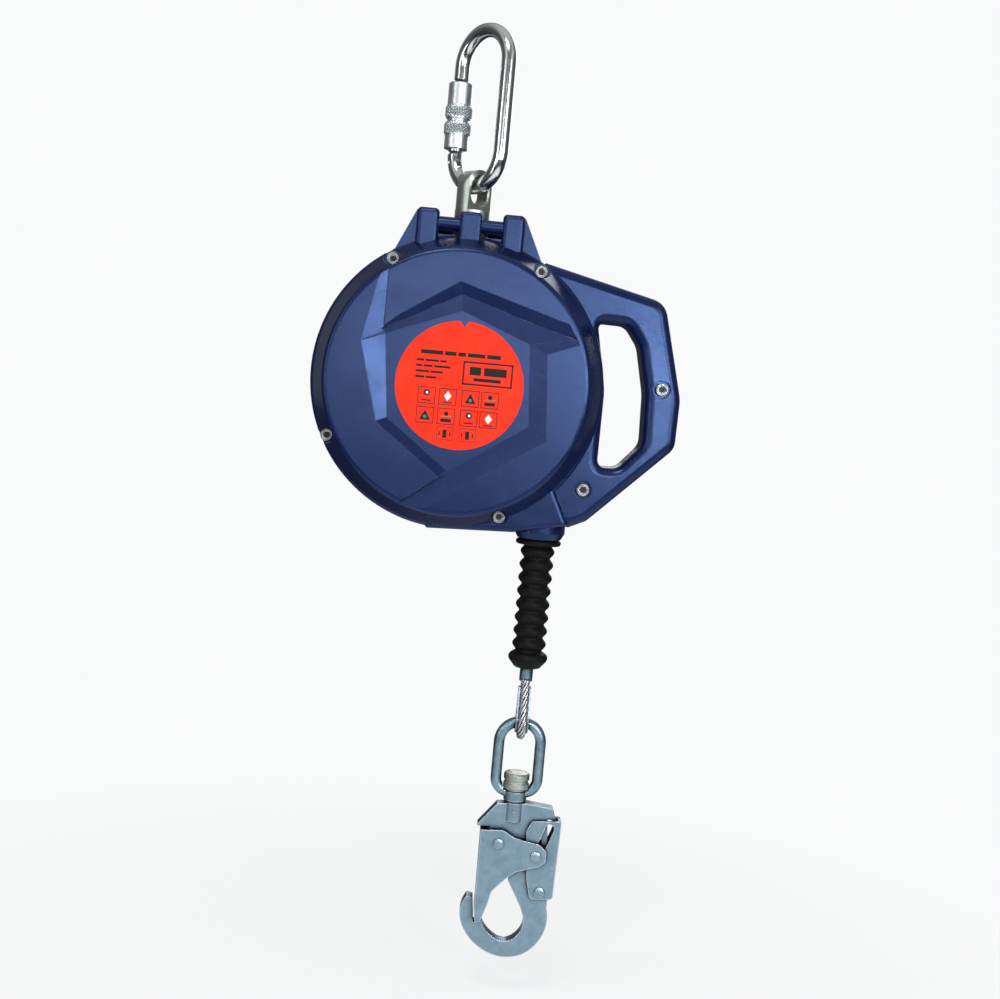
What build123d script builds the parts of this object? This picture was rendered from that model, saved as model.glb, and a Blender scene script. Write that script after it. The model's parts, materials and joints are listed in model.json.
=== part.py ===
"""Self retracting lifeline: a wire-rope fall arrester with a swivel anchor and a double-action hook.

Millimetres, +Z up.  The origin is the drum axis at the parting plane of the casing.  The drum axis is Y,
the labelled front faces -Y, and the wire rope leaves downwards at x = ROPE_X.
"""
from build123d import *
import math
import os

# ---- casing -------------------------------------------------------------------------------------------
RIM_R = 99.0            # round casing at the parting plane
BODY_HALF = 20.0        # half depth of the low part that carries neck, handle and outlet
HANDLE_HALF = 17.0      # half depth of the carrying handle
HANDLE_ROUND = 6.5      # rounding of the handle's edges, outside and round the opening
FACE_Y = 42.0           # half depth to the round face
FACE_FOOT_R = 97.0      # raised round cover where it leaves the low part
FACE_TOP_R = 88.0       # raised round cover at its face
CAVITY_Y = 36.5         # half depth of the space inside
CAVITY_R = 84.0         # radius of that space under the round cover
RIM_CAVITY_R = 94.0     # radius of that space in the low part
RIM_CAVITY_Y = 16.5
RELIEF = 3.0            # depth of the label recess
LABEL_R = 42.5
LABEL_X, LABEL_Z = 2.0, -2.0
LABEL_T = 0.4
NECK_FOOT_X, NECK_TOP_X = 50.0, 36.0
NECK_FOOT_Z, NECK_TOP_Z = 84.0, 114.0
NECK_HALF = 18.5        # half depth of the neck behind the lugs
NECK_FLOOR_Z = 98.0     # deck between the lugs
LUG_X = 29.0
LUG_W = 15.0
LUG_BAR_Z = 105.4
LUG_BAR_R = 4.5
LUG_Y = 17.5            # centre depth of the two rows of lugs
LUG_FRONT = 23.5        # depth of the lugs' faces
LUG_ROUND = 3.2
SCREW_SPOTS = [(-50, 79), (50, 79), (-84.6, -42.8), (36.2, -88), (91.4, -64.6), (138.5, 7.8)]
SCREW_R = 2.5
SCREW_HEAD_R = 4.25
SOCKET_R = 2.8          # corner radius of the hexagon socket
SCREW_HEAD_Y = 14.0     # depth of the seat under each screw head
POCKET_R = 6.0
BOSS_R = 8.0

# ---- frame, shaft and swivel --------------------------------------------------------------------------
PLATE_Y = 30.0          # inner face of the two frame plates
PLATE_T = 3.0
SHAFT_R = 10.0
SHAFT_END_R = 6.0
BLOCK_Z0, BLOCK_Z1 = 84.0, 96.0
BLOCK_HALF_Y = 11.0
BLOCK_HALF_X = 20.0
SHANK_R = 7.0
EYE_R = 12.0
EYE_FLAT = 6.0          # half thickness of the flattened tongue
EYE_FLAT_Z = 117.0
EYE_TOP_Z = 144.6
EYE_BASE_Z = 99.0
EYE_TURN = -47.0        # the eye's hole axis, turned about Z from +X
HOLE_HALF_W = 7.5
HOLE_Z0, HOLE_Z1 = 120.6, 140.2

# ---- drum, rope and brake -----------------------------------------------------------------------------
ROPE_X = 65.5
ROPE_R = 3.0
FLANGE_R = 70.0
FLANGE_IN, FLANGE_OUT = 15.0, 17.0
ANCHOR_X, ANCHOR_Z = -32.0, -11.6     # clamp of the rope's dead end
CUP_SCREW_R = 20.0      # circle of the screws that hold the spring cup
CUP_SCREW_ANGLES = range(30, 360, 60)
BRAKE_BOLT_ANGLES = range(0, 360, 60)
HUB_R = 26.5
WOUND_R = 62.4
BRAKE_BOLT_R = 58.0
LINING_R0, LINING_R1 = 45.0, 54.0
TOOTH_TIP_R, TOOTH_ROOT_R = 40.0, 44.5
TEETH = 12
FIRST_TOOTH = 6.5       # angle of the first tooth, so that a pawl at rest swings out between two teeth
PAWL_PIVOT = 30.0
PAWL_NOSE_R = 38.8
PAWL_NOSE_ANGLE = 35.0

# ---- carabiner, drawn in its own plane as (u, z) and turned to EYE_TURN ---------------------------------
ROD_R = 5.0
OVAL_R = 23.0
OVAL_LOW_Z = 156.5      # centre of the lower bend
OVAL_HIGH_Z = 215.7     # centre of the upper bend
GATE_PIVOT_Z = 151.0
GATE_PIVOT_U = -22.3
SLEEVE_R = 8.5
SLEEVE_Z0, SLEEVE_Z1 = 160.0, 205.0
NOSE_Z = 207.5

# ---- outlet, bumper and end of the rope ------------------------------------------------------------------
NOZZLE_TOP_R, NOZZLE_R = 17.5, 15.0
NOZZLE_Z = -101.5
GUIDE_R = 8.0
BUMPER_TOP_Z, BUMPER_Z = -102.3, -192.0
RIB_PITCH = 9.23
RIBS = 8
FIRST_RIB_Z = -110.7
RIB_R, VALLEY_R = 11.5, 8.8
BUMPER_FLANGE_R = 15.6
FERRULE_R = 4.6
FERRULE_Z0, FERRULE_Z1 = -202.0, -168.0
LOOP_Z = -229.8         # centre of the loop's round end
THIMBLE_R = 5.7         # inside radius of the thimble
THIMBLE_T = 1.5

# ---- link and hook, drawn as (x from the rope axis, z) ---------------------------------------------------
LINK_ROD_R = 3.75
LINK_HALF_W = 14.5
LINK_TOP_Z = -245.25    # centre of the link's round top
LINK_LOW_Z = -271.0
COLLAR_R = 8.0
COLLAR_Z0, COLLAR_Z1 = -286.5, -279.0
HEAD_R = 9.0
HOOK_HALF = 5.0         # half thickness of the forged body
HOOK_EDGE = 0.5         # rounding along the edges of the forged body
SOCKET_TUBE_R = 7.4     # outside of the socket that takes the swivel stem
STEM_R = 5.0
STEM_PIN_R = 1.7
STEM_PIN_Z = -293.3
SHEET = 1.9             # sheet of the gate and the lever
LEVER_IN = 5.3          # inner faces of the lever's cheeks
GATE_IN = 7.5           # inner faces of the gate's cheeks
GATE_PIVOT = (-8.8, -315.8)
LOCK_PIN = (17.8, -322.9)
LEVER_PIVOT = (22.7, -348.7)
GATE_SWING = 26.0
LEVER_SWING = 8.0
PIN_R = 2.5
PIN_PLAY = 0.25         # side play of the gate's pin in the body's slot
LEVER_PLAY = 0.6        # side play of the same pin in the lever's longer slot
RUN = 0.06              # radial clearance of running pins and journals

nodes = {}


# ---- drawing helpers --------------------------------------------------------------------------------------
def slab(face, front, back):
    """A face drawn as (x, z), thickened between two depths along Y."""
    return extrude(Plane.XZ.offset(-back) * face, back - front)


def poly(*points):
    """A closed polygon face."""
    return make_face(Polyline(*points, close=True))


def bar_y(x, z, radius, front, back):
    """A round bar along Y."""
    return slab(Pos(x, z) * Circle(radius), front, back)


def bar_z(x, y, radius, low, high):
    """A round bar along Z."""
    return Pos(x, y, low) * Cylinder(radius, high - low, align=(Align.CENTER, Align.CENTER, Align.MIN))


def turned_z(points, x=0.0):
    """A solid turned about a vertical axis at x, from (radius, z) points."""
    return Pos(x, 0, 0) * revolve(Plane.XZ * poly(*points), Axis.Z)


def turned_y(points):
    """A solid turned about the drum axis, from (radius, y) points."""
    return revolve(Plane.XY * poly(*points), Axis.Y)


def block(x0, x1, y0, y1, z0, z1):
    """A box between two corners."""
    return Pos((x0 + x1) / 2, (y0 + y1) / 2, (z0 + z1) / 2) * Box(x1 - x0, y1 - y0, z1 - z0)


def ring_y(outer, inner, front, back):
    """A flat ring about the drum axis."""
    return slab(Circle(outer) - Circle(inner), front, back)


def polar(radius, degrees):
    """A point from its radius and angle."""
    return radius * math.cos(math.radians(degrees)), radius * math.sin(math.radians(degrees))


def turn(point, centre, degrees):
    """A point turned about a centre in the (x, z) drawing plane."""
    c, s = math.cos(math.radians(degrees)), math.sin(math.radians(degrees))
    dx, dz = point[0] - centre[0], point[1] - centre[1]
    return centre[0] + c * dx - s * dz, centre[1] + s * dx + c * dz


def coil(radius, wire, pitch, turns, where):
    """A helical spring of round wire with its axis along the location's Z."""
    path = Helix(pitch, pitch * turns, radius)
    start = Plane(origin=path @ 0, z_dir=path % 0)
    return where * sweep(start * Circle(wire), path=path, is_frenet=True)


# ---- casing -----------------------------------------------------------------------------------------------
def soft_poly(*corners):
    """A closed face with rounded corners, from (x, z, corner radius) triples."""
    face = poly(*[(x, z) for x, z, radius in corners])
    for x, z, radius in corners:
        if radius:
            face = fillet(face.vertices().sort_by_distance((x, z, 0))[0], radius)
    return face


def handle_outline():
    """The carrying handle as a closed outline, without its opening."""
    return soft_poly((40, 78, 0), (53, 86, 0), (136, 66.5, 14), (152.3, 2, 30), (151.6, -31.5, 12),
                     (96, -86, 10), (84, -91.5, 0), (40, -80, 0))


def handle_opening():
    """The opening for the hand: its inner side runs close to the round casing."""
    return soft_poly((91.5, 49.5, 4), (111.5, 49, 9), (121, 36, 18), (128, 4, 40), (129, -31, 12),
                     (114, -48, 11), (99.9, -48, 5), (100.3, 4, 60))


def by_depth(solid, depth):
    """The edges of a solid that lie flat at a depth in front of or behind the parting plane."""
    return solid.edges().filter_by(lambda e: abs(abs(e.center().Y) - depth) < 0.01)


def neck():
    """The neck above the round casing, with its two outer lugs standing proud of it."""
    plate = slab(poly((-NECK_FOOT_X, NECK_FOOT_Z), (-NECK_TOP_X, NECK_TOP_Z), (NECK_TOP_X, NECK_TOP_Z),
                      (NECK_FOOT_X, NECK_FOOT_Z), (NECK_FOOT_X - 8, 70), (8 - NECK_FOOT_X, 70)),
                 -NECK_HALF, NECK_HALF)
    gap = LUG_X - LUG_W / 2
    plate -= block(-gap, gap, -40, 40, NECK_FLOOR_Z, NECK_TOP_Z + 10)
    plate = fillet(plate.edges().filter_by(lambda e: e.center().Z > NECK_TOP_Z - 0.01), 2.5)
    for side in (-1, 1):
        plate += side_lug(side * (LUG_X - 0.3))
    return plate


def side_lug(x):
    """One outer lug, rounded on every edge that shows."""
    lug = block(x - LUG_W / 2, x + LUG_W / 2, -LUG_FRONT, LUG_FRONT, NECK_FLOOR_Z - 8, NECK_TOP_Z + 0.6)
    return fillet(lug.edges().filter_by(lambda e: e.center().Z > NECK_FLOOR_Z - 7), LUG_ROUND)


def casing_blank():
    """Both casing halves as one solid block, with no inside yet."""
    base = poly((-30, -80), (-12, -99.6), (46, -97.5), (84, -90), (60, -40), (-20, -40))
    low = slab(Circle(RIM_R) + base, -BODY_HALF, BODY_HALF)
    low = fillet(by_depth(low, BODY_HALF), 3.5)
    grip = slab(handle_outline() - handle_opening(), -HANDLE_HALF, HANDLE_HALF)
    grip = fillet(by_depth(grip, HANDLE_HALF), HANDLE_ROUND)
    nozzle = turned_z([(0, -80), (NOZZLE_TOP_R, -80), (NOZZLE_TOP_R, -97), (NOZZLE_R, NOZZLE_Z), (0, NOZZLE_Z)],
                      ROPE_X)
    cover = turned_y([(0, -FACE_Y), (FACE_TOP_R, -FACE_Y), (FACE_FOOT_R, -BODY_HALF), (FACE_FOOT_R, BODY_HALF),
                      (FACE_TOP_R, FACE_Y), (0, FACE_Y)])
    cover = fillet(by_depth(cover, FACE_Y), 4.0)
    return low + neck() + grip + nozzle + cover


def lug_row(side):
    """The middle lug and the moulded bar that joins the three lugs, on one side of the eye."""
    y = side * LUG_Y
    front = LUG_FRONT - LUG_Y
    lug = block(-LUG_W / 2, LUG_W / 2, y - front, y + front, NECK_FLOOR_Z - 8, NECK_TOP_Z)
    lug = fillet(lug.edges().filter_by(lambda e: e.center().Z > NECK_FLOOR_Z - 7), 2.4)
    bar = Pos(0, y, LUG_BAR_Z) * Rot(0, 90, 0) * Cylinder(LUG_BAR_R, 2 * LUG_X)
    return lug + bar


# Shallow flat facets cut into the front face: outline, then three points with their depths.
FACETS = [
    # hexagonal floor that holds the label
    ([(0, 47), (46, 29), (50, -25), (-1, -59), (-44, -27), (-49.5, 28)],
     (0, 47, RELIEF), (50, -25, RELIEF), (-44, -27, RELIEF)),
    # gentle upper slope from the floor to the crest, left and right of its ridge
    ([(-49.5, 28), (-52.5, 31), (-1, 58), (0, 47)], (-49.5, 28, RELIEF), (0, 47, RELIEF), (-1, 58, 2.0)),
    ([(0, 47), (-1, 58), (37, 46), (77, 35), (46, 29)], (0, 47, RELIEF), (46, 29, RELIEF), (-1, 58, 2.0)),
    # steep crest above it
    ([(-54, 30), (-23, 57), (-3, 66), (-1, 57.9)], (-54, 30, 0.6), (-1, 57.9, 2.1), (-3, 66, 0)),
    ([(-1, 57.9), (-3, 66), (48, 58), (64, 54.4), (77, 34.7), (36.6, 45.8)],
     (-1, 57.9, 2.1), (36.6, 45.8, 2.4), (-3, 66, 0)),
    # broad left slope and the strip that runs from it to the rim
    ([(-49.5, 28), (-44, -27), (-51, -30), (-65, 22)], (-49.5, 28, RELIEF), (-44, -27, RELIEF), (-65, 22, 0)),
    ([(-50.5, 29), (-65, 22), (-80, 40), (-68, 58), (-50.5, 70)],
     (-50.5, 29, 2.2), (-65, 22, 0), (-50.5, 70, 0.8)),
    # narrow lower-left slope
    ([(-44, -27), (-51, -30), (-3, -66), (-1, -59)], (-44, -27, RELIEF), (-1, -59, RELIEF), (-3, -66, 0)),
    # sash that runs from the right corner to the lower rim
    ([(-1, -59), (50, -25), (63, -33), (34, -57), (-8, -90), (-34, -84)],
     (-1, -59, RELIEF), (50, -25, RELIEF), (63, -33, 0)),
    # right slope, and the plane beside it that fades to the rim
    ([(46, 29), (58, 24), (63, -33), (50, -25)], (46, 29, RELIEF), (50, -25, RELIEF), (58, 24, 0)),
    ([(46, 29), (77, 35), (86, 14), (58, 24)], (46, 29, RELIEF), (77, 35, 1.2), (58, 24, 0.2)),
]


def facet_tool(outline, *anchors):
    """The material removed above one tilted facet."""
    points = [Vector(x, depth - FACE_Y, z) for x, z, depth in anchors]
    along = points[1] - points[0]
    normal = along.cross(points[2] - points[0]).normalized()
    if normal.Y > 0:
        normal = normal * -1
    above = Plane(origin=points[0], x_dir=along, z_dir=normal) * Box(
        400, 400, 30, align=(Align.CENTER, Align.CENTER, Align.MIN))
    return slab(poly(*outline), -FACE_Y - 5, -CAVITY_Y - 0.5) & above


def rear_recess():
    """A plain round recess on the back face, leaving a flat ring to rest on."""
    return bar_y(0, 0, 62, FACE_Y - 1.5, FACE_Y + 5)


def inside():
    """The space inside both casing halves."""
    space = slab(Circle(CAVITY_R), -CAVITY_Y, CAVITY_Y)
    space += slab(Circle(RIM_CAVITY_R), -RIM_CAVITY_Y, RIM_CAVITY_Y)
    space += block(-24, 24, -17, 17, 70, BLOCK_Z1 - 2.0)
    for x, z in SCREW_SPOTS:
        space -= bar_y(x, z, BOSS_R, -CAVITY_Y, CAVITY_Y)
    return space


def casing():
    """The two casing halves."""
    whole = casing_blank()
    whole += lug_row(-1)
    whole += lug_row(1)
    whole -= inside()
    whole -= bar_z(0, 0, SHANK_R + 0.6, BLOCK_Z1 - 3, NECK_FLOOR_Z + 1)
    whole -= bar_z(0, 0, EYE_R + 0.8, NECK_FLOOR_Z, 130)
    whole -= bar_z(ROPE_X, 0, GUIDE_R, NOZZLE_Z - 5, -60)
    for facet in FACETS:
        whole -= facet_tool(*facet)
    whole -= rear_recess()
    for x, z in SCREW_SPOTS:
        whole -= bar_y(x, z, POCKET_R, -FACE_Y - 5, -SCREW_HEAD_Y)
        whole -= bar_y(x, z, SCREW_R + 0.1, -SCREW_HEAD_Y - 1, SCREW_HEAD_Y - 3)
        whole -= bar_y(x, z, 4.0, 1.5, SCREW_HEAD_Y - 3)
    front = whole & block(-300, 300, -100, 0, -300, 300)
    rear = whole & block(-300, 300, 0, 100, -300, 300)
    return front, rear


def label():
    """The round label with its notch, lying on the floor of the recess."""
    notch = poly((LABEL_X - 3.5, LABEL_Z + LABEL_R + 1), (LABEL_X + 3.5, LABEL_Z + LABEL_R + 1),
                 (LABEL_X, LABEL_Z + LABEL_R - 4))
    face = Pos(LABEL_X, LABEL_Z) * Circle(LABEL_R) - notch
    floor = RELIEF - FACE_Y
    return slab(face, floor - LABEL_T, floor)


def socket_screw(x, z):
    """A socket-head screw along Y, with its head to the front."""
    head = bar_y(x, z, SCREW_HEAD_R, -SCREW_HEAD_Y - 4.5, -SCREW_HEAD_Y)
    head = chamfer(head.edges().group_by(Axis.Y)[0], 0.5)
    shank = bar_y(x, z, SCREW_R, -SCREW_HEAD_Y, SCREW_HEAD_Y - 4)
    socket = slab(Pos(x, z) * RegularPolygon(SOCKET_R, 6), -SCREW_HEAD_Y - 5, -SCREW_HEAD_Y - 1.2)
    return head + shank - socket


def screw_insert(x, z):
    """A brass insert in the rear half, with a running gap round the screw."""
    return slab(Pos(x, z) * (Circle(3.95) - Circle(SCREW_R + 0.05)), 1.6, SCREW_HEAD_Y - 3.1)


front_shell, rear_shell = casing()
nodes["front_shell"] = front_shell
nodes["rear_shell"] = rear_shell
nodes["front_label"] = label()
nodes["housing_screws"] = Compound([socket_screw(x, z) for x, z in SCREW_SPOTS])
nodes["screw_inserts"] = Compound([screw_insert(x, z) for x, z in SCREW_SPOTS])

# ---- frame and swivel ---------------------------------------------------------------------------------------
def frame_plate(side):
    """A steel side plate: flat beside the drum, stepped inwards at the top to hold the swivel block."""
    y0, y1 = PLATE_Y, PLATE_Y + PLATE_T
    n0, n1 = BLOCK_HALF_Y, BLOCK_HALF_Y + PLATE_T
    low, step, high, top = -62, 62, 82, BLOCK_Z1 - 2.5
    section = make_face(Polyline((y0, low), (y1, low), (y1, step + 1), (n1, high + 1), (n1, top), (n0, top),
                                 (n0, high), (y0, step), close=True))
    strip = Pos(-40, 0, 0) * extrude(Plane.YZ * section, 80)
    outline = Circle(30) + Rectangle(40, 124) + Pos(0, 82) * Rectangle(2 * BLOCK_HALF_X, 40)
    outline = outline + Pos(0, -52) * Circle(20)
    plate = strip & slab(outline, -60, 60)
    plate = plate - bar_y(0, 0, SHAFT_END_R, 5, 60)
    for x in (-13, 13):
        plate = plate - bar_y(x, 90, 2.1, 5, 60)
    for angle in (60, 120, 240, 300):
        x, z = polar(BRAKE_BOLT_R, angle)
        plate = plate - bar_y(x, z, 3.2, 5, 60)
    return plate if side > 0 else mirror(plate, Plane.XZ)


def swivel_block():
    """The steel block between the plates, bored for the eye's shank."""
    body = block(-BLOCK_HALF_X, BLOCK_HALF_X, -BLOCK_HALF_Y, BLOCK_HALF_Y, BLOCK_Z0, BLOCK_Z1 - 2.5)
    body = body - bar_z(0, 0, SHANK_R + RUN, 60, 110)
    for x in (-13, 13):
        body = body - bar_y(x, 90, 2.1, -20, 20)
    return body


def hex_bolt(x, z, radius, front, back, head_r, head_t):
    """A hexagon bolt along Y with its head at the front."""
    head = slab(Pos(x, z) * RegularPolygon(head_r, 6), front - head_t, front)
    return head + bar_y(x, z, radius, front, back)


def hex_nut(x, z, radius, front, back, across):
    """A hexagon nut along Y."""
    return slab(Pos(x, z) * (RegularPolygon(across, 6) - Circle(radius)), front, back)


def swivel_eye():
    """The round swivel eye with its flattened tongue, slotted hole, and shank through the block."""
    bar = bar_z(0, 0, EYE_R, EYE_BASE_Z, EYE_TOP_Z)
    bar = fillet(bar.edges().group_by(Axis.Z)[-1], 3.0)
    for side in (-1, 1):
        x0, x1 = sorted((side * EYE_FLAT, side * 20))
        bar = bar - block(x0, x1, -20, 20, EYE_FLAT_Z, 160)
    arch = Plane.YZ * Pos(0, EYE_TOP_Z - EYE_R) * Circle(EYE_R)
    keep = extrude(arch, 20, both=True) + block(-20, 20, -20, 20, EYE_BASE_Z - 1, EYE_TOP_Z - EYE_R)
    bar = bar & keep
    height = HOLE_Z1 - HOLE_Z0
    hole = Plane.YZ * Pos(0, (HOLE_Z0 + HOLE_Z1) / 2) * Rot(0, 0, 90) * SlotOverall(height, 2 * HOLE_HALF_W)
    bar = bar - extrude(hole, 20, both=True)
    rims = bar.edges().filter_by(lambda e: abs(abs(e.center().X) - EYE_FLAT) < 0.01 and
                                 HOLE_Z0 - 0.5 < e.center().Z < HOLE_Z1 + 0.5 and abs(e.center().Y) < 9)
    bar = chamfer(rims, 0.9)
    shank = bar_z(0, 0, SHANK_R, 72, EYE_BASE_Z)
    return Rot(0, 0, EYE_TURN) * (bar + shank)


def main_shaft():
    """The fixed shaft that the drum turns on, shouldered against the plates and threaded at both ends."""
    return turned_y([(0, -35.8), (5.5, -35.8), (SHAFT_END_R, -35.3), (SHAFT_END_R, -PLATE_Y),
                     (SHAFT_R, -PLATE_Y), (SHAFT_R, PLATE_Y), (SHAFT_END_R, PLATE_Y), (SHAFT_END_R, 35.3),
                     (5.5, 35.8), (0, 35.8)])


nodes["frame_plate_front"] = frame_plate(-1)
nodes["frame_plate_rear"] = frame_plate(1)
nodes["swivel_block"] = swivel_block()
plate_face = BLOCK_HALF_Y + PLATE_T
nodes["frame_bolts"] = Compound([hex_bolt(x, 90, 2.05, -plate_face, plate_face + 1.9, 3.6, 1.9)
                                 for x in (-13, 13)])
nodes["frame_nuts"] = Compound([hex_nut(x, 90, 2.1, plate_face, plate_face + 1.9, 3.6) for x in (-13, 13)])
nodes["swivel_eye"] = swivel_eye()
nodes["swivel_washer"] = bar_z(0, 0, 10.5, BLOCK_Z0 - 2.1, BLOCK_Z0 - 0.1) - bar_z(0, 0, SHANK_R + RUN, 70, 90)
nodes["swivel_nut"] = (Pos(0, 0, 73.5) * extrude(RegularPolygon(10.0, 6), 8.2)) - bar_z(0, 0, SHANK_R, 60, 90)
nodes["main_shaft"] = main_shaft()
nodes["shaft_nuts"] = Compound([hex_nut(0, 0, SHAFT_END_R, y, y + 2.6, 10.5)
                                for y in (-PLATE_Y - PLATE_T - 2.6, PLATE_Y + PLATE_T)])


# ---- drum and rope on it ----------------------------------------------------------------------------------
def drum():
    """The rope drum: hub, two flanges, the pawl seats at the front and the spring-cup spigot at the back."""
    bore = 13.5
    body = turned_y([(bore, -FLANGE_OUT), (FLANGE_R - 1, -FLANGE_OUT), (FLANGE_R, -FLANGE_OUT + 1),
                     (FLANGE_R, -FLANGE_IN), (HUB_R, -FLANGE_IN), (HUB_R, FLANGE_IN), (FLANGE_R, FLANGE_IN),
                     (FLANGE_R, FLANGE_OUT - 1), (FLANGE_R - 1, FLANGE_OUT), (bore, FLANGE_OUT)])
    seat = slab(Circle(17) - Circle(bore), -20.0, -FLANGE_OUT)
    body = body + seat
    for x in (-PAWL_PIVOT, PAWL_PIVOT):
        body = body - bar_y(x, 0, PIN_R, -30, -FLANGE_IN)
    for angle in CUP_SCREW_ANGLES:
        x, z = polar(CUP_SCREW_R, angle)
        body = body - bar_y(x, z, 2.05, 5, 30)
    return body - bar_y(ANCHOR_X, ANCHOR_Z, 4.05, FLANGE_IN - 1, 30)


def drum_bush(front, back):
    """A bronze bush pressed into the drum and running on the shaft."""
    return ring_y(13.5, SHAFT_R + RUN, front, back)


def rope_on_drum():
    """The turns of rope on the drum as one body with a rounded outline for each turn of the outer layer."""
    pitch = 2 * ROPE_R
    turns = 5
    outline = Polyline((-FLANGE_IN, WOUND_R - ROPE_R), (-FLANGE_IN, HUB_R), (FLANGE_IN, HUB_R),
                       (FLANGE_IN, WOUND_R - ROPE_R))
    bumps = []
    for i in range(turns):
        right = FLANGE_IN - i * pitch
        bumps.append(ThreePointArc((right, WOUND_R - ROPE_R), (right - ROPE_R, WOUND_R),
                                   (right - pitch, WOUND_R - ROPE_R)))
    section = make_face(Curve() + [outline] + bumps)
    return revolve(Plane.XY * Rot(0, 0, 90) * mirror(section, Plane.XZ), Axis.Y)


def rope_anchor():
    """The clamp plug that holds the rope's dead end in the rear flange."""
    return bar_y(ANCHOR_X, ANCHOR_Z, 4.0, FLANGE_IN + 0.1, FLANGE_OUT + 1.5)


def spring_cup():
    """The cup on the back of the drum that holds the power spring."""
    floor = ring_y(54, 14, FLANGE_OUT + 2.0, FLANGE_OUT + 3.5)
    wall = ring_y(54, 52, FLANGE_OUT + 3.5, 27.0)
    cup = floor + wall + ring_y(24, 14, FLANGE_OUT, FLANGE_OUT + 2.0)
    for angle in CUP_SCREW_ANGLES:
        x, z = polar(CUP_SCREW_R, angle)
        cup = cup - bar_y(x, z, 2.05, 5, 30)
    return cup


def cup_screw(angle):
    """A countersunk screw holding the cup to the drum."""
    x, z = polar(CUP_SCREW_R, angle)
    return bar_y(x, z, 2.0, 8, FLANGE_OUT + 3.5) + bar_y(x, z, 3.4, FLANGE_OUT + 3.5, FLANGE_OUT + 4.6)


def power_spring():
    """The spiral power spring, wound in the cup with its outer end at the wall."""
    first, last = 19.0, 51.0
    turns = 11
    thick = 0.9
    steps = turns * 12

    def edge(extra):
        points = []
        for i in range(steps + 1):
            angle = 360 * turns * i / steps
            points.append(polar(first + (last - first) * i / steps + extra, angle))
        return points

    inner, outer = edge(0), edge(thick)
    face = make_face(Curve() + [Spline(*inner), Line(inner[-1], outer[-1]), Spline(*reversed(outer)),
                                Line(outer[0], inner[0])])
    return slab(face, 22.2, 26.4)


def spring_arbor():
    """The fixed arbor on the shaft that the inner end of the spring hooks to."""
    arbor = ring_y(17.5, SHAFT_R, 22.4, 27.4)
    return arbor - block(15.5, 20, 20, 30, -1.2, 1.2)


nodes["drum"] = drum()
nodes["drum_bushes"] = Compound([drum_bush(-20.0, -8.0), drum_bush(5.0, FLANGE_OUT)])
nodes["rope_on_drum"] = rope_on_drum()
nodes["rope_anchor"] = rope_anchor()
nodes["spring_cup"] = spring_cup()
nodes["spring_cup_screws"] = Compound([cup_screw(angle) for angle in CUP_SCREW_ANGLES])
nodes["spring_cover"] = ring_y(54, 19, 27.0, 28.0)
nodes["power_spring"] = power_spring()
nodes["spring_arbor"] = spring_arbor()


# ---- centrifugal brake --------------------------------------------------------------------------------------
def brake_plate():
    """The fixed plate behind the brake, bolted to the front frame plate."""
    disc = ring_y(BRAKE_BOLT_R + 5, 22, -PLATE_Y, -27.5)
    disc = disc - block(-80, 80, -40, -20, 53.5, 80)
    return drilled(disc)


def drilled(disc):
    """A brake disc with its six bolt holes."""
    for angle in BRAKE_BOLT_ANGLES:
        x, z = polar(BRAKE_BOLT_R, angle)
        disc = disc - bar_y(x, z, 2.05, -40, -10)
    return disc


def ratchet_ring():
    """The friction-clamped ring with saw teeth facing inwards."""
    step = 360 / TEETH
    points = []
    for i in range(TEETH):
        foot = -(FIRST_TOOTH + i * step)
        points += [polar(TOOTH_TIP_R, foot), polar((TOOTH_TIP_R + TOOTH_ROOT_R) / 2 + 0.2, foot - 14),
                   polar(TOOTH_ROOT_R, foot - 27), polar(TOOTH_TIP_R, foot - 28.5)]
    return slab(Circle(LINING_R1) - poly(*points), -26.0, -21.0)


def pawl(side):
    """A pawl on its drum pin, with the nose trailing so that spin throws it out into the teeth."""
    nose = polar(PAWL_NOSE_R, -PAWL_NOSE_ANGLE)
    heel = polar(PAWL_NOSE_R - 6, -PAWL_NOSE_ANGLE - 4)
    arm = poly((PAWL_PIVOT + 5.5, 1), (PAWL_PIVOT + 5.2, -11), nose, heel, (PAWL_PIVOT - 5.5, -9),
               (PAWL_PIVOT - 6, 1))
    face = arm + Pos(PAWL_PIVOT, 0) * Circle(6) + Pos(PAWL_PIVOT - 3, 6.5) * Circle(4.2)
    body = slab(face, -25.6, -21.4) - bar_y(PAWL_PIVOT, 0, PIN_R + RUN, -30, -10)
    return body if side > 0 else Rot(0, 180, 0) * body


def pawl_pin(side):
    """The headed pin of a pawl, pressed into the drum's front flange."""
    x = side * PAWL_PIVOT
    return bar_y(x, 0, PIN_R, -26.2, -FLANGE_IN) + bar_y(x, 0, 3.8, -27.2, -26.2)


def pawl_spring(side):
    """The small coil that holds a pawl in until the drum runs away."""
    body = coil(1.8, 0.35, 1.4, 5, Pos(PAWL_PIVOT - 13.5, -23.5, 12.0) * Rot(0, 90, 0))
    return body if side > 0 else Rot(0, 180, 0) * body


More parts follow.
